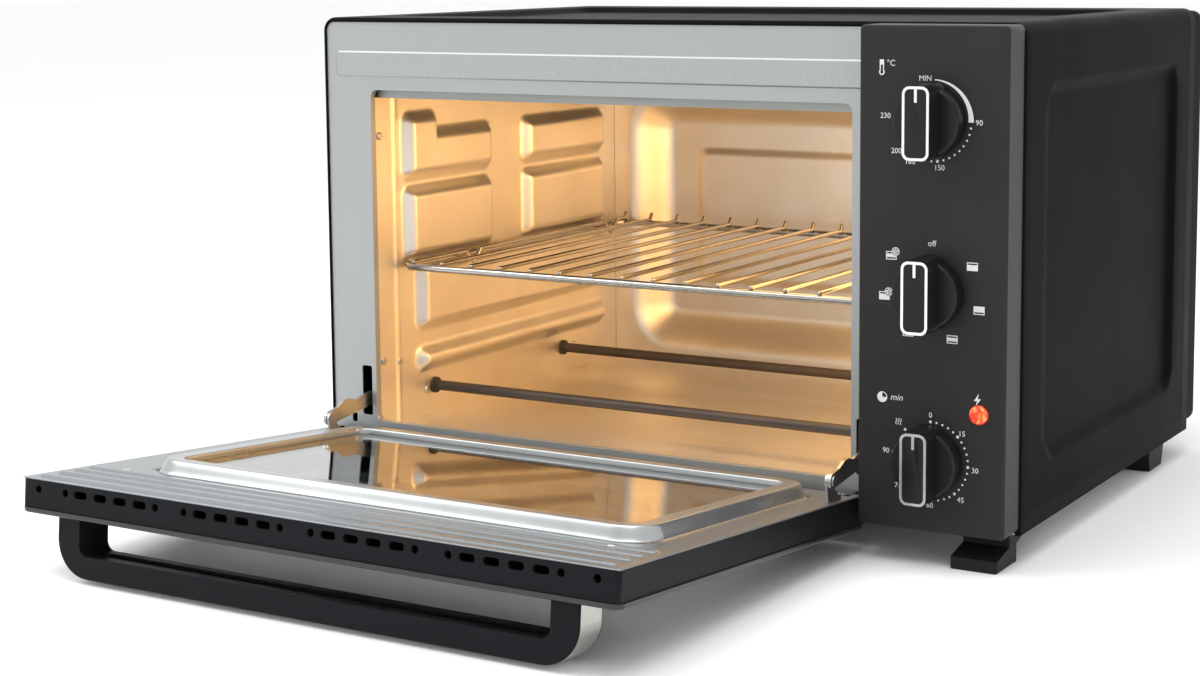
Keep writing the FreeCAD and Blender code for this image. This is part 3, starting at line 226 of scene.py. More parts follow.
def case_wrap():
    """The wrap. The first parameter runs up the left side, over the top and down the right side, with a quarter
    turn at each corner, and the second from the rolled front edge to the back. Points are the running sum of the
    direction along the sheet. Fields sink along the inward normal by FIELD_DEPTH times into(), and the grid is
    finest where a field's edge falls."""
    high, half = case_hi.z - case_lo.z, WIDTH / 2
    flat = high - CASE_BEND
    quarter = CASE_BEND * math.pi / 2
    low_edge = (SIDE_IN, SIDE_IN + 20 * MM)
    high_edge = (flat - SIDE_IN - 12 * MM, flat - SIDE_IN + 10 * MM)
    side = steps((0, low_edge[0], 3), (*low_edge, 16), (low_edge[1], high_edge[0], 24), (*high_edge, 16),
                 (high_edge[1], flat, 3))
    top_edge = (TOP_IN - CASE_BEND, TOP_IN + 12 * MM)
    across = steps((0, top_edge[0], 3), (*top_edge, 16), (top_edge[1], half - CASE_BEND, 20))
    over = np.concatenate([across, (WIDTH - 2 * CASE_BEND) - across[-2::-1]])
    bend = np.linspace(0, quarter, 8)[1:]
    run = np.concatenate([side, flat + bend, flat + quarter + over[1:], flat + quarter + over[-1] + bend,
                          flat + 2 * quarter + over[-1] + (flat - side[-2::-1])])
    first_turn = np.clip((run - flat) / quarter, 0, 1) * math.pi / 2
    second_turn = np.clip((run - flat - quarter - over[-1]) / quarter, 0, 1) * math.pi / 2
    turn = first_turn + second_turn
    along = np.stack([np.sin(turn), np.cos(turn)], -1)
    middles = (along[1:] + along[:-1]) / 2
    path = np.concatenate([[[0, 0]], np.cumsum(middles * np.diff(run)[:, None], 0)])
    path = path / np.abs(path).max(0) * [WIDTH, high] + [case_lo.x, case_lo.z]
    outward = np.stack([-np.cos(turn), np.sin(turn)], -1)
    roll = np.linspace(0, math.pi / 2, 7)
    front_edge, rear_edge = (END_IN, END_IN + 20 * MM), (DEPTH - END_IN - 20 * MM, DEPTH - END_IN)
    back = steps((LIP, front_edge[0], 4), (*front_edge, 16), (front_edge[1], rear_edge[0], 24), (*rear_edge, 16),
                 (rear_edge[1], DEPTH, 3))
    inset = np.concatenate([[LIP], LIP * (1 - np.cos(roll[::-1])), 0 * back[1:]])
    y = np.concatenate([[LIP], LIP * (1 - np.sin(roll[::-1])), back[1:]]) + case_lo.y
    x, z = path[:, 0][:, None], path[:, 1][:, None]
    rows = (case_lo.y + END_IN, case_hi.y - END_IN)
    sides = into(y[None, :], z, (*rows, case_lo.z + SIDE_IN, case_hi.z - SIDE_IN), FIELD_CORNER, FIELD_SLOPE)
    top = into(x, y[None, :], (case_lo.x + TOP_IN, case_hi.x - TOP_IN, *rows), FIELD_CORNER, FIELD_SLOPE)
    faces_sideways = np.abs(outward[:, :1]) > 0.5
    sink = inset[None, :] + FIELD_DEPTH * np.where(faces_sideways, sides, top)
    grid = np.empty((len(run), len(y), 3))
    grid[..., 0] = x - outward[:, :1] * sink
    grid[..., 1] = y[None, :]
    grid[..., 2] = z - outward[:, 1:] * sink
    return grid


black = case_black()
wrap = surface("outer_wrap", case_wrap(), "oven", black, thick=CASE_SHEET)
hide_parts("outer_case")


# ---------------------------------------------------------------- rear cover, base and feet
# A pressed pan closes the back, in the same black coat, held by screws. The base, the fan's housing and the
# door's lugs are plain zinc-coated sheet. The four feet, the front pair with a low toe, and the cord gland
# are moulded in matt black plastic.
coat("rear_cover", black)
ease_edges("rear_cover", 0.5 * MM)

zinc = Finish("zinc_sheet", Metallic=1.0)
grain = zinc.noise(60, detail=5)
zinc.set(Base_Color=zinc.between(grain, (0.36, 0.37, 0.38), (0.56, 0.57, 0.58)))
zinc.set(Roughness=0.35 + 0.2 * grain)
zinc.bump(grain, 0.03 * MM)
for name in ("base_plate", "fan_housing", "hinge_lugs"):
    coat(name, zinc)

matt = Finish("foot_plastic", Specular_IOR_Level=0.2)
cloud = matt.noise(70)
matt.set(Base_Color=matt.between(cloud, (0.006, 0.006, 0.006), (0.012, 0.012, 0.012)))
matt.set(Roughness=0.5 + 0.15 * cloud)
matt.bump(matt.noise(2600, detail=2), 0.05 * MM, 0.7)
for name in ("foot_front_left", "foot_front_right", "foot_rear_left", "foot_rear_right", "cord_gland"):
    coat(name, matt)
    ease_edges(name, 0.7 * MM)


# ---------------------------------------------------------------- front frame
# The face plate is steel sheet in a silver-grey metallic enamel. A shallow band is embossed over the
# opening, whose edges are turned back, and slots are cut for the hinge arms.
silver = Finish("frame_silver", Metallic=0.75, Coat_Weight=0.15, Coat_Roughness=0.2)
flake = silver.noise(3200, detail=2)
silver.set(Base_Color=silver.between(flake.within(0.35, 0.65), (0.31, 0.328, 0.331), (0.41, 0.429, 0.431)))
silver.set(Roughness=0.4 + 0.1 * silver.noise(12))
silver.bump(flake, 0.02 * MM, 0.5)
coat("front_frame", silver)
ease_edges("front_frame", 0.35 * MM, angle=25)


# ---------------------------------------------------------------- cavity liner
# Thin aluminised sheet, screwed together. The side walls have fields pressed into the cavity, which carry
# the rack and stiffen the sheet, and the rear wall is drawn back into a deep dish with an embossed panel on
# it. The ceiling is the same sheet, in a darker and greener grey.
liner = Finish("liner", Metallic=1.0)
brushed = liner.noise(420, (1.0, 0.06, 1.0), detail=4)
stain = liner.noise(14, detail=5)
# Both colours are tinted warm: the tint is painted warm light from the cavity's lamps, over the sheet's own grey;
# the stain mask between them is real heat tint.
liner.set(Base_Color=liner.between(stain.within(0.3, 0.75), (0.80, 0.755, 0.68), (0.72, 0.66, 0.57)))
liner.set(Roughness=0.36 + 0.12 * brushed + 0.06 * stain)
liner.bump(brushed, 0.02 * MM, 0.5)
floor_lo, floor_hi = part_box("cavity_floor")
CAVITY_X, CAVITY_FRONT, CAVITY_BACK = (floor_lo.x, floor_hi.x), floor_lo.y, floor_hi.y
FLOOR_Z, CEILING_Z = floor_hi.z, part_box("cavity_ceiling")[0].z
LINER_SHEET = 0.8 * MM
SHELF_Z = case_lo.z + 121.8 * MM                        # top of the pressed fields that carry the rack


def left_side():
    """The left wall over depth and height: each field rises by field_rise times into(), meeting fields run
    together because the highest counts, and a bead runs down the front edge as a bell curve."""
    field_rise, corner, slope = 7 * MM, 8 * MM, 9 * MM
    bead_at, bead_width, bead_rise = case_lo.y + 29 * MM, 1.8 * MM, 1.1 * MM
    y = np.linspace(CAVITY_FRONT, CAVITY_BACK, 190)[:, None]
    z = np.linspace(FLOOR_Z - LINER_SHEET, CEILING_Z + LINER_SHEET, 150)[None, :]
    front = (case_lo.y + 35 * MM, case_lo.y + 144 * MM)
    rear = (case_lo.y + 182 * MM, case_lo.y + 299 * MM)
    whole = (front[0] + 13 * MM, rear[1])
    high, mid = CEILING_Z - 11 * MM, SHELF_Z + 58 * MM
    upper, lower = (mid - 2 * MM, high - 12 * MM), (SHELF_Z + 1 * MM, mid - 4 * MM)
    fields = [(*front, *upper), (*front, *lower), (*rear, *upper), (*rear, *lower),
              (front[0], front[0] + 42 * MM, upper[0], high),                   # a taller front corner
              (*whole, SHELF_Z - 49 * MM, SHELF_Z + 0.8 * MM),                  # what the rack rests on
              (*whole, SHELF_Z - 78 * MM, SHELF_Z - 58 * MM)]                   # a long rib under it
    height = np.zeros((y + z).shape)
    for rect in fields:
        height = np.maximum(height, into(y, z, rect, corner, slope))
    bead = np.exp(-(((y - bead_at) / bead_width) ** 2)) * bead_rise
    grid = np.empty((*height.shape, 3))
    grid[..., 0] = CAVITY_X[0] + height * field_rise + bead
    grid[..., 1] = y
    grid[..., 2] = z
    return grid


left_wall = surface("liner_left", left_side(), "oven", liner, thick=LINER_SHEET)
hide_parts("cavity_left_wall")
coat("cavity_right_wall", liner)


def rear_wall():
    """The rear wall over width and height: a flat flange, then a dish that sinks back through a long soft slope,
    and a low step forwards round the panel in its middle, both by into()."""
    dish_depth, dish_corner, dish_slope = 22 * MM, 36 * MM, 30 * MM
    panel_rise, panel_corner, panel_slope = 2.5 * MM, 10 * MM, 7 * MM
    x = np.linspace(CAVITY_X[0] - LINER_SHEET, CAVITY_X[1] + LINER_SHEET, 216)[:, None]
    z = np.linspace(FLOOR_Z - LINER_SHEET, CEILING_Z + LINER_SHEET, 150)[None, :]
    dish = (CAVITY_X[0] + 13 * MM, CAVITY_X[1] - 13 * MM, FLOOR_Z + 9 * MM, CEILING_Z - 9 * MM)
    panel = (dish[0] + 49 * MM, dish[1] - 49 * MM, dish[2] + 52 * MM, dish[3] - 47 * MM)
    sink = dish_depth * into(x, z, dish, dish_corner, dish_slope)
    sink = sink - panel_rise * into(x, z, panel, panel_corner, panel_slope)
    grid = np.empty((*sink.shape, 3))
    grid[..., 0] = x
    grid[..., 1] = CAVITY_BACK + sink
    grid[..., 2] = z
    return grid[::-1]


back_wall = surface("liner_back", rear_wall(), "oven", liner, thick=LINER_SHEET)
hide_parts("cavity_rear_wall")
coat("cavity_floor", liner)
dull = Finish("liner_ceiling", Metallic=1.0)
cloud = dull.noise(300, (0.08, 1, 1), detail=4)
dull.set(Base_Color=dull.between(cloud, (0.24, 0.25, 0.235), (0.36, 0.37, 0.35)))
dull.set(Roughness=0.4 + 0.1 * cloud)
coat("cavity_ceiling", dull)


# ---------------------------------------------------------------- screws, shafts and small steel
# Plated steel, turned or stamped: screws, rivets and pins, the controls' shafts and nuts, the timer's bell
# and the brackets that hold the hinge arms to the door.
steel = Finish("screw_steel", Metallic=1.0)
cloud = steel.noise(900)
steel.set(Base_Color=steel.between(cloud, (0.42, 0.41, 0.39), (0.62, 0.61, 0.59)))
steel.set(Roughness=0.25 + 0.15 * cloud)
for name in ("liner_screws", "heater_terminals", "control_nuts", "timer_bell", "thermostat_shaft", "selector_shaft",
             "timer_shaft", "handle_screws", "door_screws", "arm_ears", "arm_rivets", "hinge_pins", "case_screws"):
    coat(name, steel)


# ---------------------------------------------------------------- heaters
# Four steel-sheathed tubes with a heating coil packed inside them, dulled brown by heat. They cross the
# cavity from wall to wall, and dark ceramic collars hold them where they pass through.
sheath = Finish("heater_sheath", Metallic=0.6)
scale = sheath.noise(160, (0.25, 1, 1), detail=5)
sheath.set(Base_Color=sheath.between(scale, (0.055, 0.043, 0.036), (0.115, 0.092, 0.078)))
sheath.set(Roughness=0.4 + 0.2 * scale)
sheath.bump(scale, 0.05 * MM)
for name in ("heater_lower_front", "heater_lower_rear", "heater_upper_front", "heater_upper_rear"):
    coat(name, sheath)
ceramic = Finish("collar_ceramic", Roughness=0.7)
cloud = ceramic.noise(400)
ceramic.set(Base_Color=ceramic.between(cloud, (0.02, 0.018, 0.016), (0.05, 0.045, 0.04)))
coat("heater_collars", ceramic)


# ---------------------------------------------------------------- rack
# Steel wire, spot-welded and then bright-plated: a frame of thicker rod with thinner wires laid across it,
# whose rear ends are bent up as a stop. It slides on the side walls' fields.
plated = Finish("rack_chrome", Metallic=1.0)
cloud = plated.noise(90)
plated.set(Base_Color=plated.between(cloud, (0.33, 0.31, 0.285), (0.46, 0.44, 0.41)))
plated.set(Roughness=0.12 + 0.12 * cloud)
coat("wire_rack", plated)


# ---------------------------------------------------------------- control panel
# A moulded box in fine-grained black plastic that stands proud of the face plate. Dial marks, numbers and
# symbols are printed on it in white.
moulded = Finish("panel_plastic", Specular_IOR_Level=0.22)
cloud = moulded.noise(30)
moulded.set(Base_Color=moulded.between(cloud, (0.0155, 0.0148, 0.0142), (0.0190, 0.0182, 0.0175)))
moulded.set(Roughness=0.38 + 0.08 * cloud)
moulded.bump(moulded.noise(2800, detail=2), 0.04 * MM, 0.6)
coat("control_panel", moulded)
ease_edges("control_panel", 0.4 * MM)

ink = Finish("panel_ink", Roughness=0.55)
ink.set(Base_Color=ink.between(ink.noise(800), (0.60, 0.61, 0.60), (0.70, 0.71, 0.70)))


class Print:
    """Flat shapes in the panel's plane, gathered into one thin printed layer. Places are X and Z in metres."""

    def __init__(self):
        self.points, self.faces, self.count = [], [], 0

    def add(self, points, faces):
        """Adds a shape's points, and its faces as numbers that count from its own first point."""
        self.points.append(points)
        self.faces += [tuple(self.count + k for k in face) for face in faces]
        self.count += len(points)

    def words(self, text, size, x, z, slant=0.0):
        """Text centred on (x, z)."""
        curve = bpy.data.curves.new("words", "FONT")
        curve.body, curve.size, curve.shear = text, size, slant
        curve.align_x, curve.align_y, curve.resolution_u = "CENTER", "CENTER", 3
        holder = bpy.data.objects.new("words", curve)
        mesh = bpy.data.meshes.new_from_object(holder)
        flat = np.empty(len(mesh.vertices) * 3)
        mesh.vertices.foreach_get("co", flat)
        faces = [tuple(face.vertices) for face in mesh.polygons]
        self.add(flat.reshape(-1, 3)[:, :2] + (x, z), faces)
        bpy.data.objects.remove(holder)
        bpy.data.meshes.remove(mesh)

    def shape(self, outline, x, z):
        """A filled outline, given anticlockwise."""
        self.add(np.array(outline) + (x, z), [tuple(range(len(outline)))])

    def bar(self, width, height, x, z):
        """A rectangle centred on (x, z)."""
        a, b = width / 2, height / 2
        self.shape([(-a, -b), (a, -b), (a, b), (-a, b)], x, z)

    def dot(self, radius, x, z):
        """A filled circle, as a 16-sided face."""
        turn = np.linspace(0, 2 * math.pi, 16, endpoint=False)
        self.shape(np.stack([radius * np.cos(turn), radius * np.sin(turn)], -1), x, z)

    def arc(self, inner, outer, first, last, x, z):
        """A band round (x, z) between clock angles in degrees. inner and outer are pairs: each radius goes evenly
        from its first value to its last."""
        count = 40
        share = np.linspace(0, 1, count)
        turn = np.radians(first + (last - first) * share)
        aim = np.stack([np.sin(turn), np.cos(turn)], -1)
        rims = [(r[0] + (r[1] - r[0]) * share)[:, None] * aim + (x, z) for r in (inner, outer)]
        at = np.arange(count - 1)
        quads = np.stack([at, at + count, at + count + 1, at + 1], -1)
        self.add(np.concatenate(rims), quads[:, ::-1].tolist())

    def ring(self, inner, outer, first, last, x, z):
        """A band whose two radii stay the same."""
        self.arc((inner, inner), (outer, outer), first, last, x, z)

    def clock(self, x, z, radius, angle):
        """The place at a clock angle in degrees, on a circle round (x, z)."""
        turn = math.radians(angle)
        return x + radius * math.sin(turn), z + radius * math.cos(turn)


def middle(node):
    """The X and Z of a node's middle."""
    low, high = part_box(node)
    return (low.x + high.x) / 2, (low.z + high.z) / 2


DIAL_R = 22.7 * MM                                      # circle that the dots lie on
FIGURE, UNIT = 4.3 * MM, 4.3 * 1.1 * MM                 # letter heights
BIG_DOT, SMALL_DOT = 0.85 * MM, 0.6 * MM
marks = Print()

# The thermostat's dial: a band that widens from MIN to 90, then dots up to 230, the figures, each with how far
# right of and above the dial's middle it is in millimetres, and a thermometer.
KNOB_X, z = middle("timer_knob")[0], middle("thermostat_knob")[1]
marks.arc((DIAL_R - 0.2 * MM, DIAL_R - 1.8 * MM), (DIAL_R + 0.4 * MM, DIAL_R + 1.3 * MM), 2, 91, KNOB_X, z)
for k in range(1, 21):
    marks.dot(BIG_DOT if k in (9, 12, 15, 20) else SMALL_DOT, *marks.clock(KNOB_X, z, DIAL_R, 90 + 9.2 * k))
for text, dx, dz in (("MIN", -4.8, 23.4), ("90", 27.2, -0.5), ("150", 4.0, -26.2), ("180", -13.6, -23.4),
                     ("200", -21.8, -17.6), ("230", -28.6, 2.0)):
    marks.words(text, FIGURE, KNOB_X + dx * MM, z + dz * MM)
x, z = KNOB_X - 31.0 * MM, z + 26.5 * MM
marks.ring(1.0 * MM, 1.7 * MM, 35, 325, x, z)
for side in (-1, 1):
    marks.bar(0.6 * MM, 5.6 * MM, x + side * 1.0 * MM, z + 4.2 * MM)
marks.bar(1.4 * MM, 3.0 * MM, x, z + 5.6 * MM)
marks.words("\u00b0C", UNIT, x + 5.6 * MM, z + 5.0 * MM)

# The selector's dial: an oven's outline at each place, filled but for a clear strip at the top or the bottom where
# that heater is on, with a small fan at its corner where the fan turns. CLEAR and FILLED are how far the filling
# reaches from the middle, in millimetres.
CLEAR, FILLED = 1.0, 1.85
z = middle("selector_knob")[1]
marks.words("off", UNIT, KNOB_X, z + 27.6 * MM)
for dx, dz, upper, lower, blown in ((24.1, 16.1, True, False, False), (28.3, -8.2, False, True, False),
                                    (12.6, -25.7, True, True, False), (-14.0, -23.6, False, True, False),
                                    (-28.6, -3.7, True, False, True), (-24.5, 19.5, True, True, True)):
    x, high = KNOB_X + dx * MM, z + dz * MM
    for side in (-1, 1):
        marks.bar(6.5 * MM, 0.5 * MM, x, high - side * 2.1 * MM)
    for side in (-1, 1):
        marks.bar(0.5 * MM, 3.7 * MM, x + side * 3.0 * MM, high)
    top, bottom = (CLEAR if upper else FILLED), (CLEAR if lower else FILLED)
    marks.bar(5.5 * MM, (top + bottom) * MM, x, high + (top - bottom) / 2 * MM)
    if blown:
        x, high = x + 2.6 * MM, high + 2.4 * MM
        marks.ring(1.9 * MM, 2.4 * MM, 0, 360, x, high)
        for k in range(5):
            marks.dot(0.55 * MM, *marks.clock(x, high, 1.1 * MM, 72 * k))

# The timer's dial: a dot each three minutes and a figure each fifteen, one more dot under three wavy lines, a
# clock face with its first quarter left out, and a flash by the indicator.
z = middle("timer_knob")[1]
for k in range(31):
    marks.dot(BIG_DOT if k % 5 == 0 else SMALL_DOT, *marks.clock(KNOB_X, z, DIAL_R, 9.27 * k))
marks.dot(BIG_DOT, *marks.clock(KNOB_X, z, DIAL_R, -42.5))
for text, dx, dz in (("0", 0.0, 26.4), ("15", 18.9, 17.6), ("30", 26.9, -2.7), ("45", 18.6, -20.4),
                     ("60", 0.0, -25.6), ("75", -19.5, -16.2), ("90", -27.0, 3.4)):
    marks.words(text, FIGURE, KNOB_X + dx * MM, z + dz * MM)
for k in (-1, 0, 1):
    for half, first in ((1, 20), (-1, 200)):
        x, high = KNOB_X + (-19.4 + 1.4 * k) * MM, z + (21.0 + 0.85 * half) * MM
        marks.ring(0.75 * MM, 1.15 * MM, first, first + 140, x - half * 0.6 * MM, high)
x, high = KNOB_X - 29.5 * MM, z + 34.3 * MM
marks.ring(0.0, 3.1 * MM, 90, 360, x, high)
marks.ring(2.6 * MM, 3.1 * MM, 0, 90, x, high)
marks.words("min", FIGURE * 1.2, KNOB_X - 20.8 * MM, high + 0.4 * MM, 0.25)
flash = [(0.9, 3.9), (-2.1, -0.6), (-0.1, -0.4), (-1.3, -3.9), (2.1, 0.9), (0.1, 0.6)]
marks.shape([(a * MM, b * MM) for a, b in flash], KNOB_X + 27.9 * MM, z + 37.7 * MM)

INK_STANDS = 0.06 * MM
flat = np.concatenate(marks.points)
front = np.full(len(flat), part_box("control_panel")[0].y - INK_STANDS)
layer = bpy.data.meshes.new("dial_print")
layer.from_pydata(np.stack([flat[:, 0], front, flat[:, 1]], -1), [], marks.faces)
layer.materials.append(ink.material)
dial_print = bpy.data.objects.new("dial_print", layer)
bpy.context.scene.collection.objects.link(dial_print)
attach(dial_print, "oven")


# ---------------------------------------------------------------- knobs
# Each knob is a round disc with a tall grip bar across it, moulded in black, with a bright plated rim let in
# round the bar's face and a short pointer at its end.
knob = Finish("knob_plastic", Specular_IOR_Level=0.25)
cloud = knob.noise(60)
knob.set(Base_Color=knob.between(cloud, (0.006, 0.006, 0.006), (0.009, 0.009, 0.009)))
knob.set(Roughness=0.3 + 0.1 * cloud)
knob.bump(knob.noise(2400, detail=2), 0.03 * MM, 0.5)
rim = Finish("rim_bright", Metallic=1.0)
cloud = rim.noise(300)
rim.set(Base_Color=rim.between(cloud, (0.80, 0.80, 0.79), (0.90, 0.90, 0.89)))
rim.set(Roughness=0.2 + 0.1 * cloud)
for control in ("thermostat", "selector", "timer"):
    coat(control + "_knob", knob)
    ease_edges(control + "_knob", 0.5 * MM)
    coat(control + "_rim", rim)


# ---------------------------------------------------------------- indicator and electrics
# The lens is clear red plastic over a neon lamp, pressed into the panel. Inside, the switches, the lamp's body
# and the terminals are moulded in brown phenolic, the sensor bulb is copper, and the fan has a motor of
# stacked steel sheets and an aluminium wheel.
lens = Finish("lens_red", Roughness=0.12, Coat_Weight=0.6)
glow = lens.noise(350, detail=2)
lens.set(Base_Color=lens.between(glow.within(0.4, 0.7), (0.55, 0.03, 0.012), (0.9, 0.22, 0.06)))
lens.set(Emission_Color=lens.between(glow.within(0.45, 0.75), (0.5, 0.02, 0.0), (1.0, 0.35, 0.08)))
lens.set(Emission_Strength=0.9)
lens.bump(glow, 0.6 * MM)
coat("indicator_lens", lens)
phenolic = Finish("switch_body", Roughness=0.5)
cloud = phenolic.noise(120)
phenolic.set(Base_Color=phenolic.between(cloud, (0.16, 0.10, 0.06), (0.24, 0.16, 0.10)))
for name in ("thermostat_body", "selector_body", "timer_body", "indicator_lamp", "terminal_block"):
    coat(name, phenolic)
copper = Finish("bulb_copper", Metallic=1.0)
cloud = copper.noise(200)
copper.set(Base_Color=copper.between(cloud, (0.55, 0.30, 0.18), (0.70, 0.42, 0.28)))
copper.set(Roughness=0.3 + 0.2 * cloud)
coat("thermostat_bulb", copper)
laminated = Finish("motor_steel", Metallic=0.9)
stack = laminated.noise(900, (1.0, 0.02, 0.02))
laminated.set(Base_Color=laminated.between(stack, (0.20, 0.20, 0.21), (0.36, 0.36, 0.37)))
laminated.set(Roughness=0.4 + 0.1 * stack)
coat("fan_motor", laminated)
vane = Finish("fan_aluminium", Metallic=1.0)
cloud = vane.noise(250)
vane.set(Base_Color=vane.between(cloud, (0.60, 0.60, 0.60), (0.72, 0.72, 0.72)))
vane.set(Roughness=0.35 + 0.1 * cloud)
coat("fan_wheel", vane)


# ---------------------------------------------------------------- door frame and handle
# The frame is moulded in black plastic, with vent slots along its free edge, and carries the glasses and the
# inner skin. The handle is a U-shaped bar in the same plastic, screwed on from inside, and has a strip of
# brushed steel let into its face.
door_black = Finish("door_plastic", Specular_IOR_Level=0.1)
cloud = door_black.noise(40)
# The slight blue tint of both colours is a painted bluish sheen; under it the plastic is plain black.
door_black.set(Base_Color=door_black.between(cloud, (0.0052, 0.0058, 0.0074), (0.0078, 0.0086, 0.0106)))
door_black.set(Roughness=0.38 + 0.1 * cloud)
door_black.bump(door_black.noise(2400, detail=2), 0.04 * MM, 0.6)
coat("door_frame", door_black)
coat("door_handle", door_black)
ease_edges("door_frame", 0.4 * MM)
ease_edges("door_handle", 1.6 * MM, segments=3)
strip = Finish("strip_steel", Metallic=1.0)
drawn = strip.noise(700, (0.02, 1, 1), detail=3)
strip.set(Base_Color=strip.between(drawn, (0.50, 0.49, 0.46), (0.66, 0.65, 0.62)))
strip.set(Roughness=0.25 + 0.15 * drawn)
coat("handle_strip", strip)


# ---------------------------------------------------------------- door's inner skin and window frame
# Steel sheet in a grey metallic enamel, screwed to the frame, with four low ridges along the free edge. A
# pressed frame with a smoother finish stands round the window and clamps the inner glass.
enamel = Finish("door_sheet", Metallic=0.7, Coat_Weight=0.2, Coat_Roughness=0.15)
flake = enamel.noise(3200, detail=2)
enamel.set(Base_Color=enamel.between(flake.within(0.35, 0.65), (0.185, 0.205, 0.216), (0.262, 0.283, 0.294)))
enamel.set(Roughness=0.26 + 0.1 * enamel.noise(15))
HINGE_Y, HINGE_Z, OPEN = -171.5 * MM, 27 * MM, math.radians(85)
SKIN_Y = HINGE_Y + 6 * MM                               # the skin's face on the shut door
DOOR_X, DOOR_Z = (-244 * MM, 151.5 * MM), (21 * MM, 306 * MM)
RING = (-205.5 * MM, 130.5 * MM, 41.5 * MM, 246.5 * MM)  # outside of the window frame: X from, to, Z from, to


def swung(x, y, z):
    """Points of the shut door, turned about the hinge line to the open stop."""
    back, up = y - HINGE_Y, z - HINGE_Z
    return np.stack(np.broadcast_arrays(x, HINGE_Y + back * math.cos(OPEN) - up * math.sin(OPEN),
                                        HINGE_Z + back * math.sin(OPEN) + up * math.cos(OPEN)), -1)


def door_skin():
    """The inner skin over width and height: flat sheet with low ridges along its free edge, each ridge_rise times
    an into() of a long round-ended bar. With it come the cells to leave out: those well under the window frame,
    and a notch round each hinge lug."""
    ridge_rise, ridge_end, ridge_corner, ridge_slope = 1.2 * MM, 5 * MM, 3.5 * MM, 2.6 * MM
    lug_in, lug_half, notch_deep, notch = 6.5 * MM, 2 * MM, 8.5 * MM, (4.5 * MM, 8.6 * MM)
    border = 22 * MM                                    # the grid is finer out to here
    left, right = DOOR_X[0] + 1 * MM, DOOR_X[1] - 1 * MM
    low, high = DOOR_Z[0] + 5 * MM, DOOR_Z[1] - 1 * MM
    x = steps((left, left + notch[0], 8), (left + notch[0], left + notch[1], 6),
              (left + notch[1], left + border, 14), (left + border, right - border, 60),
              (right - border, right - notch[1], 14), (right - notch[1], right - notch[0], 6),
              (right - notch[0], right, 8))[:, None]
    z = steps((low, low + notch_deep, 4), (low + notch_deep, RING[3], 60), (RING[3], high, 150))[None, :]
    rise = np.zeros((x + z).shape)
    for drop, width in ((5, 9), (19.5, 8.5), (31.5, 8.5), (43.5, 9)):
        bar = (left + ridge_end, right - ridge_end, high - (drop + width) * MM, high - drop * MM)
        rise = np.maximum(rise, into(x, z, bar, ridge_corner, ridge_slope))
    grid = swung(x, SKIN_Y + ridge_rise * rise, z)
    cell_x, cell_z = (x[1:] + x[:-1]) / 2, (z[:, 1:] + z[:, :-1]) / 2
    under = into(cell_x, cell_z, RING, 12 * MM, 3 * MM) >= 1
    beside = np.minimum(np.abs(cell_x - (left + lug_in)), np.abs(cell_x - (right - lug_in))) < lug_half
    return grid[::-1], (under | (beside & (cell_z < low + notch_deep)))[::-1]


def window_ring():
    """The raised window frame: a profile of distance out from the window and height, carried round the window's
    round-cornered outline. Its inner edge is rounded, its top is flat and its outer side falls in a soft
    S-curve. The lists are in millimetres."""
    fall = np.linspace(0, 1, 14)
    out = np.concatenate([[0, 0, 0.25, 0.9, 2.0], np.linspace(3.2, 8.2, 6), 9.0 + 5.4 * fall]) * MM
    drop = 0.1 + 7.9 * (1 - fall * fall * (3 - 2 * fall))
    tall = np.concatenate([[4.3, 7.0, 7.6, 7.9, 8.0], np.full(6, 8.0), drop]) * MM
    r, width, bends = 8 * MM, 14 * MM, 10               # inner corners' radius, frame's width, points to a corner
    corner = np.linspace(0, math.pi / 2, bends)
    inner = (RING[0] + width, RING[1] - width, RING[2] + width, RING[3] - width)
    turn = np.concatenate([corner + k * math.pi / 2 for k in range(4)])
    centre_x = np.repeat([inner[1] - r, inner[0] + r, inner[0] + r, inner[1] - r], bends)
    centre_z = np.repeat([inner[3] - r, inner[3] - r, inner[2] + r, inner[2] + r], bends)
    around = np.append(np.arange(4 * bends), 0)
    turn, centre_x, centre_z = turn[around][:, None], centre_x[around][:, None], centre_z[around][:, None]
    return swung(centre_x + (r + out) * np.cos(turn), SKIN_Y + tall[None, :], centre_z + (r + out) * np.sin(turn))


skin_points, skin_gaps = door_skin()
skin = surface("door_skin", skin_points, "door", enamel, thick=0.7 * MM, hidden=skin_gaps)
polished = Finish("window_frame", Metallic=0.8, Coat_Weight=0.2, Coat_Roughness=0.15)
cloud = polished.noise(40, detail=4)
polished.set(Base_Color=polished.between(cloud, (0.34, 0.358, 0.36), (0.43, 0.447, 0.448)))
polished.set(Roughness=0.24 + 0.1 * cloud)
surface("window_frame", window_ring(), "door", polished)
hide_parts("door_inner_panel")


# ---------------------------------------------------------------- door glass
# Two toughened panes. The inner one is clear. The outer one covers the whole door: grey-tinted, with a black
# border fired onto it, which leaves a rectangular window clear.
window = Finish("window_glass", Base_Color=(0.93, 0.95, 0.94, 1), Roughness=0.02, Transmission_Weight=1.0, IOR=1.7)
coat("door_inner_glass", window)
smoked = Finish("door_glass", Base_Color=(0.012, 0.0125, 0.0135, 1), Roughness=0.04)
clear = smoked.place.node("ShaderNodeBsdfPrincipled", {}, {"Base Color": (0.40, 0.41, 0.42, 1), "Roughness": 0.03,
                                                           "Transmission Weight": 1.0, "IOR": 1.5})
across, along = (smoked.place.node("ShaderNodeSeparateXYZ", {}, {0: smoked.place}, axis) for axis in "XY")
PANE_X, PANE_Y = (RING[0] + RING[1]) / 2, -287 * MM
HALF_WIDE, HALF_LONG, FADE = 152 * MM, 86 * MM, 1 * MM
beyond_side = abs(across - PANE_X).within(HALF_WIDE, HALF_WIDE + FADE)
beyond_end = abs(along - PANE_Y).within(HALF_LONG, HALF_LONG + FADE)
pane = (1.0 - beyond_side) * (1.0 - beyond_end)
border = Link(smoked.tree, smoked.shader.outputs["BSDF"])
mixed = pane.node("ShaderNodeMixShader", {}, {0: pane, 1: border, 2: clear})
smoked.tree.links.new(mixed.socket, smoked.tree.nodes["Material Output"].inputs["Surface"])
coat("door_outer_glass", smoked)


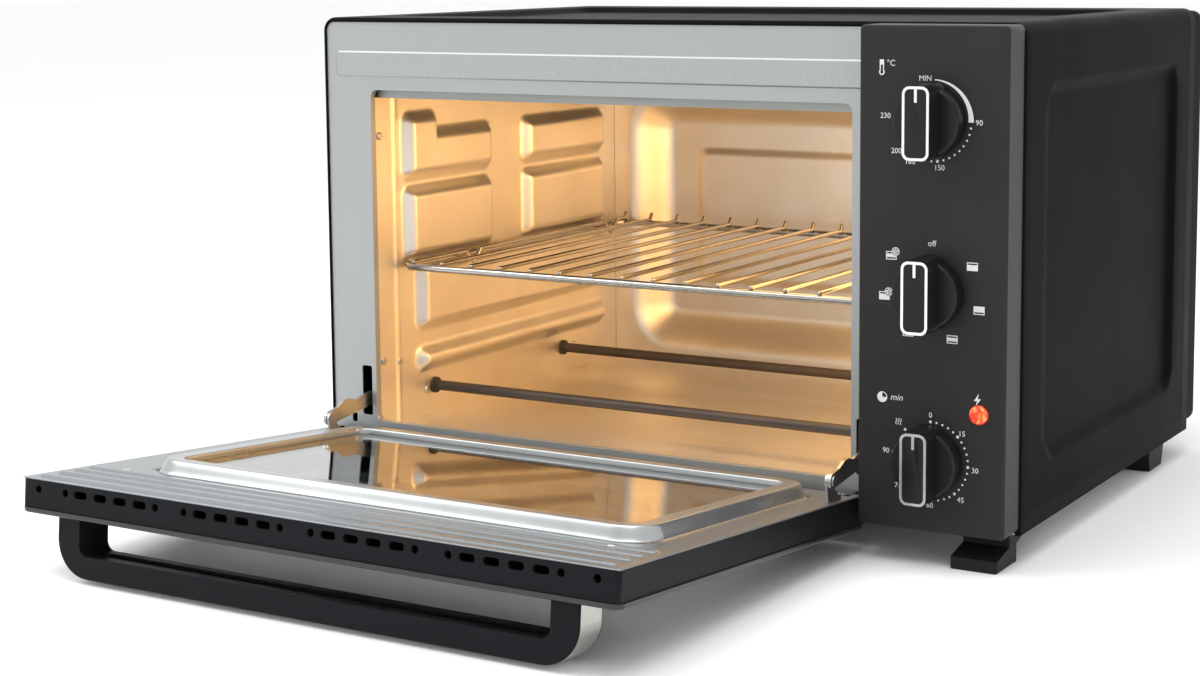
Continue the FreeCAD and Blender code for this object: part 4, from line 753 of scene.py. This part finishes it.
# ---------------------------------------------------------------- hinge arms
# Two stamped steel arms, riveted to brackets on the door. They pass through slots in the face plate into the
# gaps beside the cavity, where a real oven's springs hold them.
arm = Finish("arm_steel", Metallic=1.0)
cloud = arm.noise(150)
arm.set(Base_Color=arm.between(cloud, (0.42, 0.41, 0.38), (0.58, 0.57, 0.54)))
arm.set(Roughness=0.25 + 0.15 * cloud)
coat("hinge_arm_left", arm)
coat("hinge_arm_right", arm)


# ---------------------------------------------------------------- studio
# A pale floor that runs far out, a bright even surround, and two large soft lamps, overhead and front left. Two
# small warm ones inside the cavity, under its ceiling and by its right wall, light the liner.
def lamp(name, place, target, size, power, colour):
    """A rectangular softbox that faces its target."""
    light = bpy.data.lights.new(name, "AREA")
    light.shape = "RECTANGLE"
    light.size, light.size_y = size
    light.energy = power
    light.color = colour
    holder = bpy.data.objects.new(name, light)
    bpy.context.scene.collection.objects.link(holder)
    aim = Vector(target) - Vector(place)
    holder.matrix_world = Matrix.Translation(place) @ aim.to_track_quat("-Z", "Y").to_matrix().to_4x4()
    return holder


REACH = 14.0
floor_mesh = bpy.data.meshes.new("floor")
floor_mesh.from_pydata([(-REACH, -REACH, 0), (REACH, -REACH, 0), (REACH, REACH, 0), (-REACH, REACH, 0)], [],
                       [(0, 1, 2, 3)])
paper = Finish("floor_paper", Roughness=0.9)
paper.set(Base_Color=paper.between(paper.noise(3), (0.88, 0.88, 0.88), (0.90, 0.90, 0.90)))
floor_mesh.materials.append(paper.material)
floor = bpy.data.objects.new("floor", floor_mesh)
bpy.context.scene.collection.objects.link(floor)

world = bpy.data.worlds.new("surround")
world.use_nodes = True
background = world.node_tree.nodes["Background"].inputs
background["Color"].default_value = (1, 1, 1, 1)
background["Strength"].default_value = 1.08
bpy.context.scene.world = world
bpy.context.scene.view_settings.view_transform = "Standard"

# Each lamp: where it is, what it faces, its width and length, its power in watts and its colour.
WHITE = (1, 1, 1)
lamp("lamp_top", (0.0, -0.6, 2.2), (0, -0.1, 0.1), (2.2, 1.6), 30, WHITE)
lamp("lamp_left", (-1.45, -1.0, 1.6), (-0.05, -0.42, 0.05), (1.3, 1.0), 17, WHITE)
mid_x, mid_y, side_up = (CAVITY_X[0] + CAVITY_X[1]) / 2, (CAVITY_FRONT + CAVITY_BACK) / 2, FLOOR_Z + 0.15
glow_lamp = lamp("lamp_cavity", (mid_x + 0.06, mid_y - 0.01, CEILING_Z - 0.008),
                 (mid_x - 0.03, mid_y + 0.02, FLOOR_Z), (0.20, 0.22), 0.75, (1.0, 0.57, 0.22))
side_glow = lamp("lamp_cavity_side", (CAVITY_X[1] - 0.02, mid_y, side_up), (CAVITY_X[0], mid_y, side_up),
                 (0.16, 0.24), 0.5, (1.0, 0.56, 0.20))

# The camera: where it stands, how it is turned from looking along +Y, its lens in millimetres and how far its
# view is shifted up. It sees to beyond the floor's far edge.
EYE = (0.6694, -1.3232, 0.3463)
HEADING, TILT, ROLL = math.radians(31.11), math.radians(-6.75), math.radians(0.52)
LENS, SHIFT, FARTHEST = 65.84, -0.1, 60
turned = Matrix.Rotation(HEADING, 3, "Z") @ Matrix.Rotation(TILT, 3, "X") @ Matrix.Rotation(ROLL, 3, "Y")
camera = bpy.data.objects.new("camera", bpy.data.cameras.new("camera"))
bpy.context.scene.collection.objects.link(camera)
axes = Matrix((turned.col[0], turned.col[2], -turned.col[1])).transposed()
camera.matrix_world = Matrix.Translation(EYE) @ axes.to_4x4()
camera.data.lens = LENS
camera.data.shift_y = SHIFT
camera.data.clip_end = FARTHEST
bpy.context.scene.camera = camera
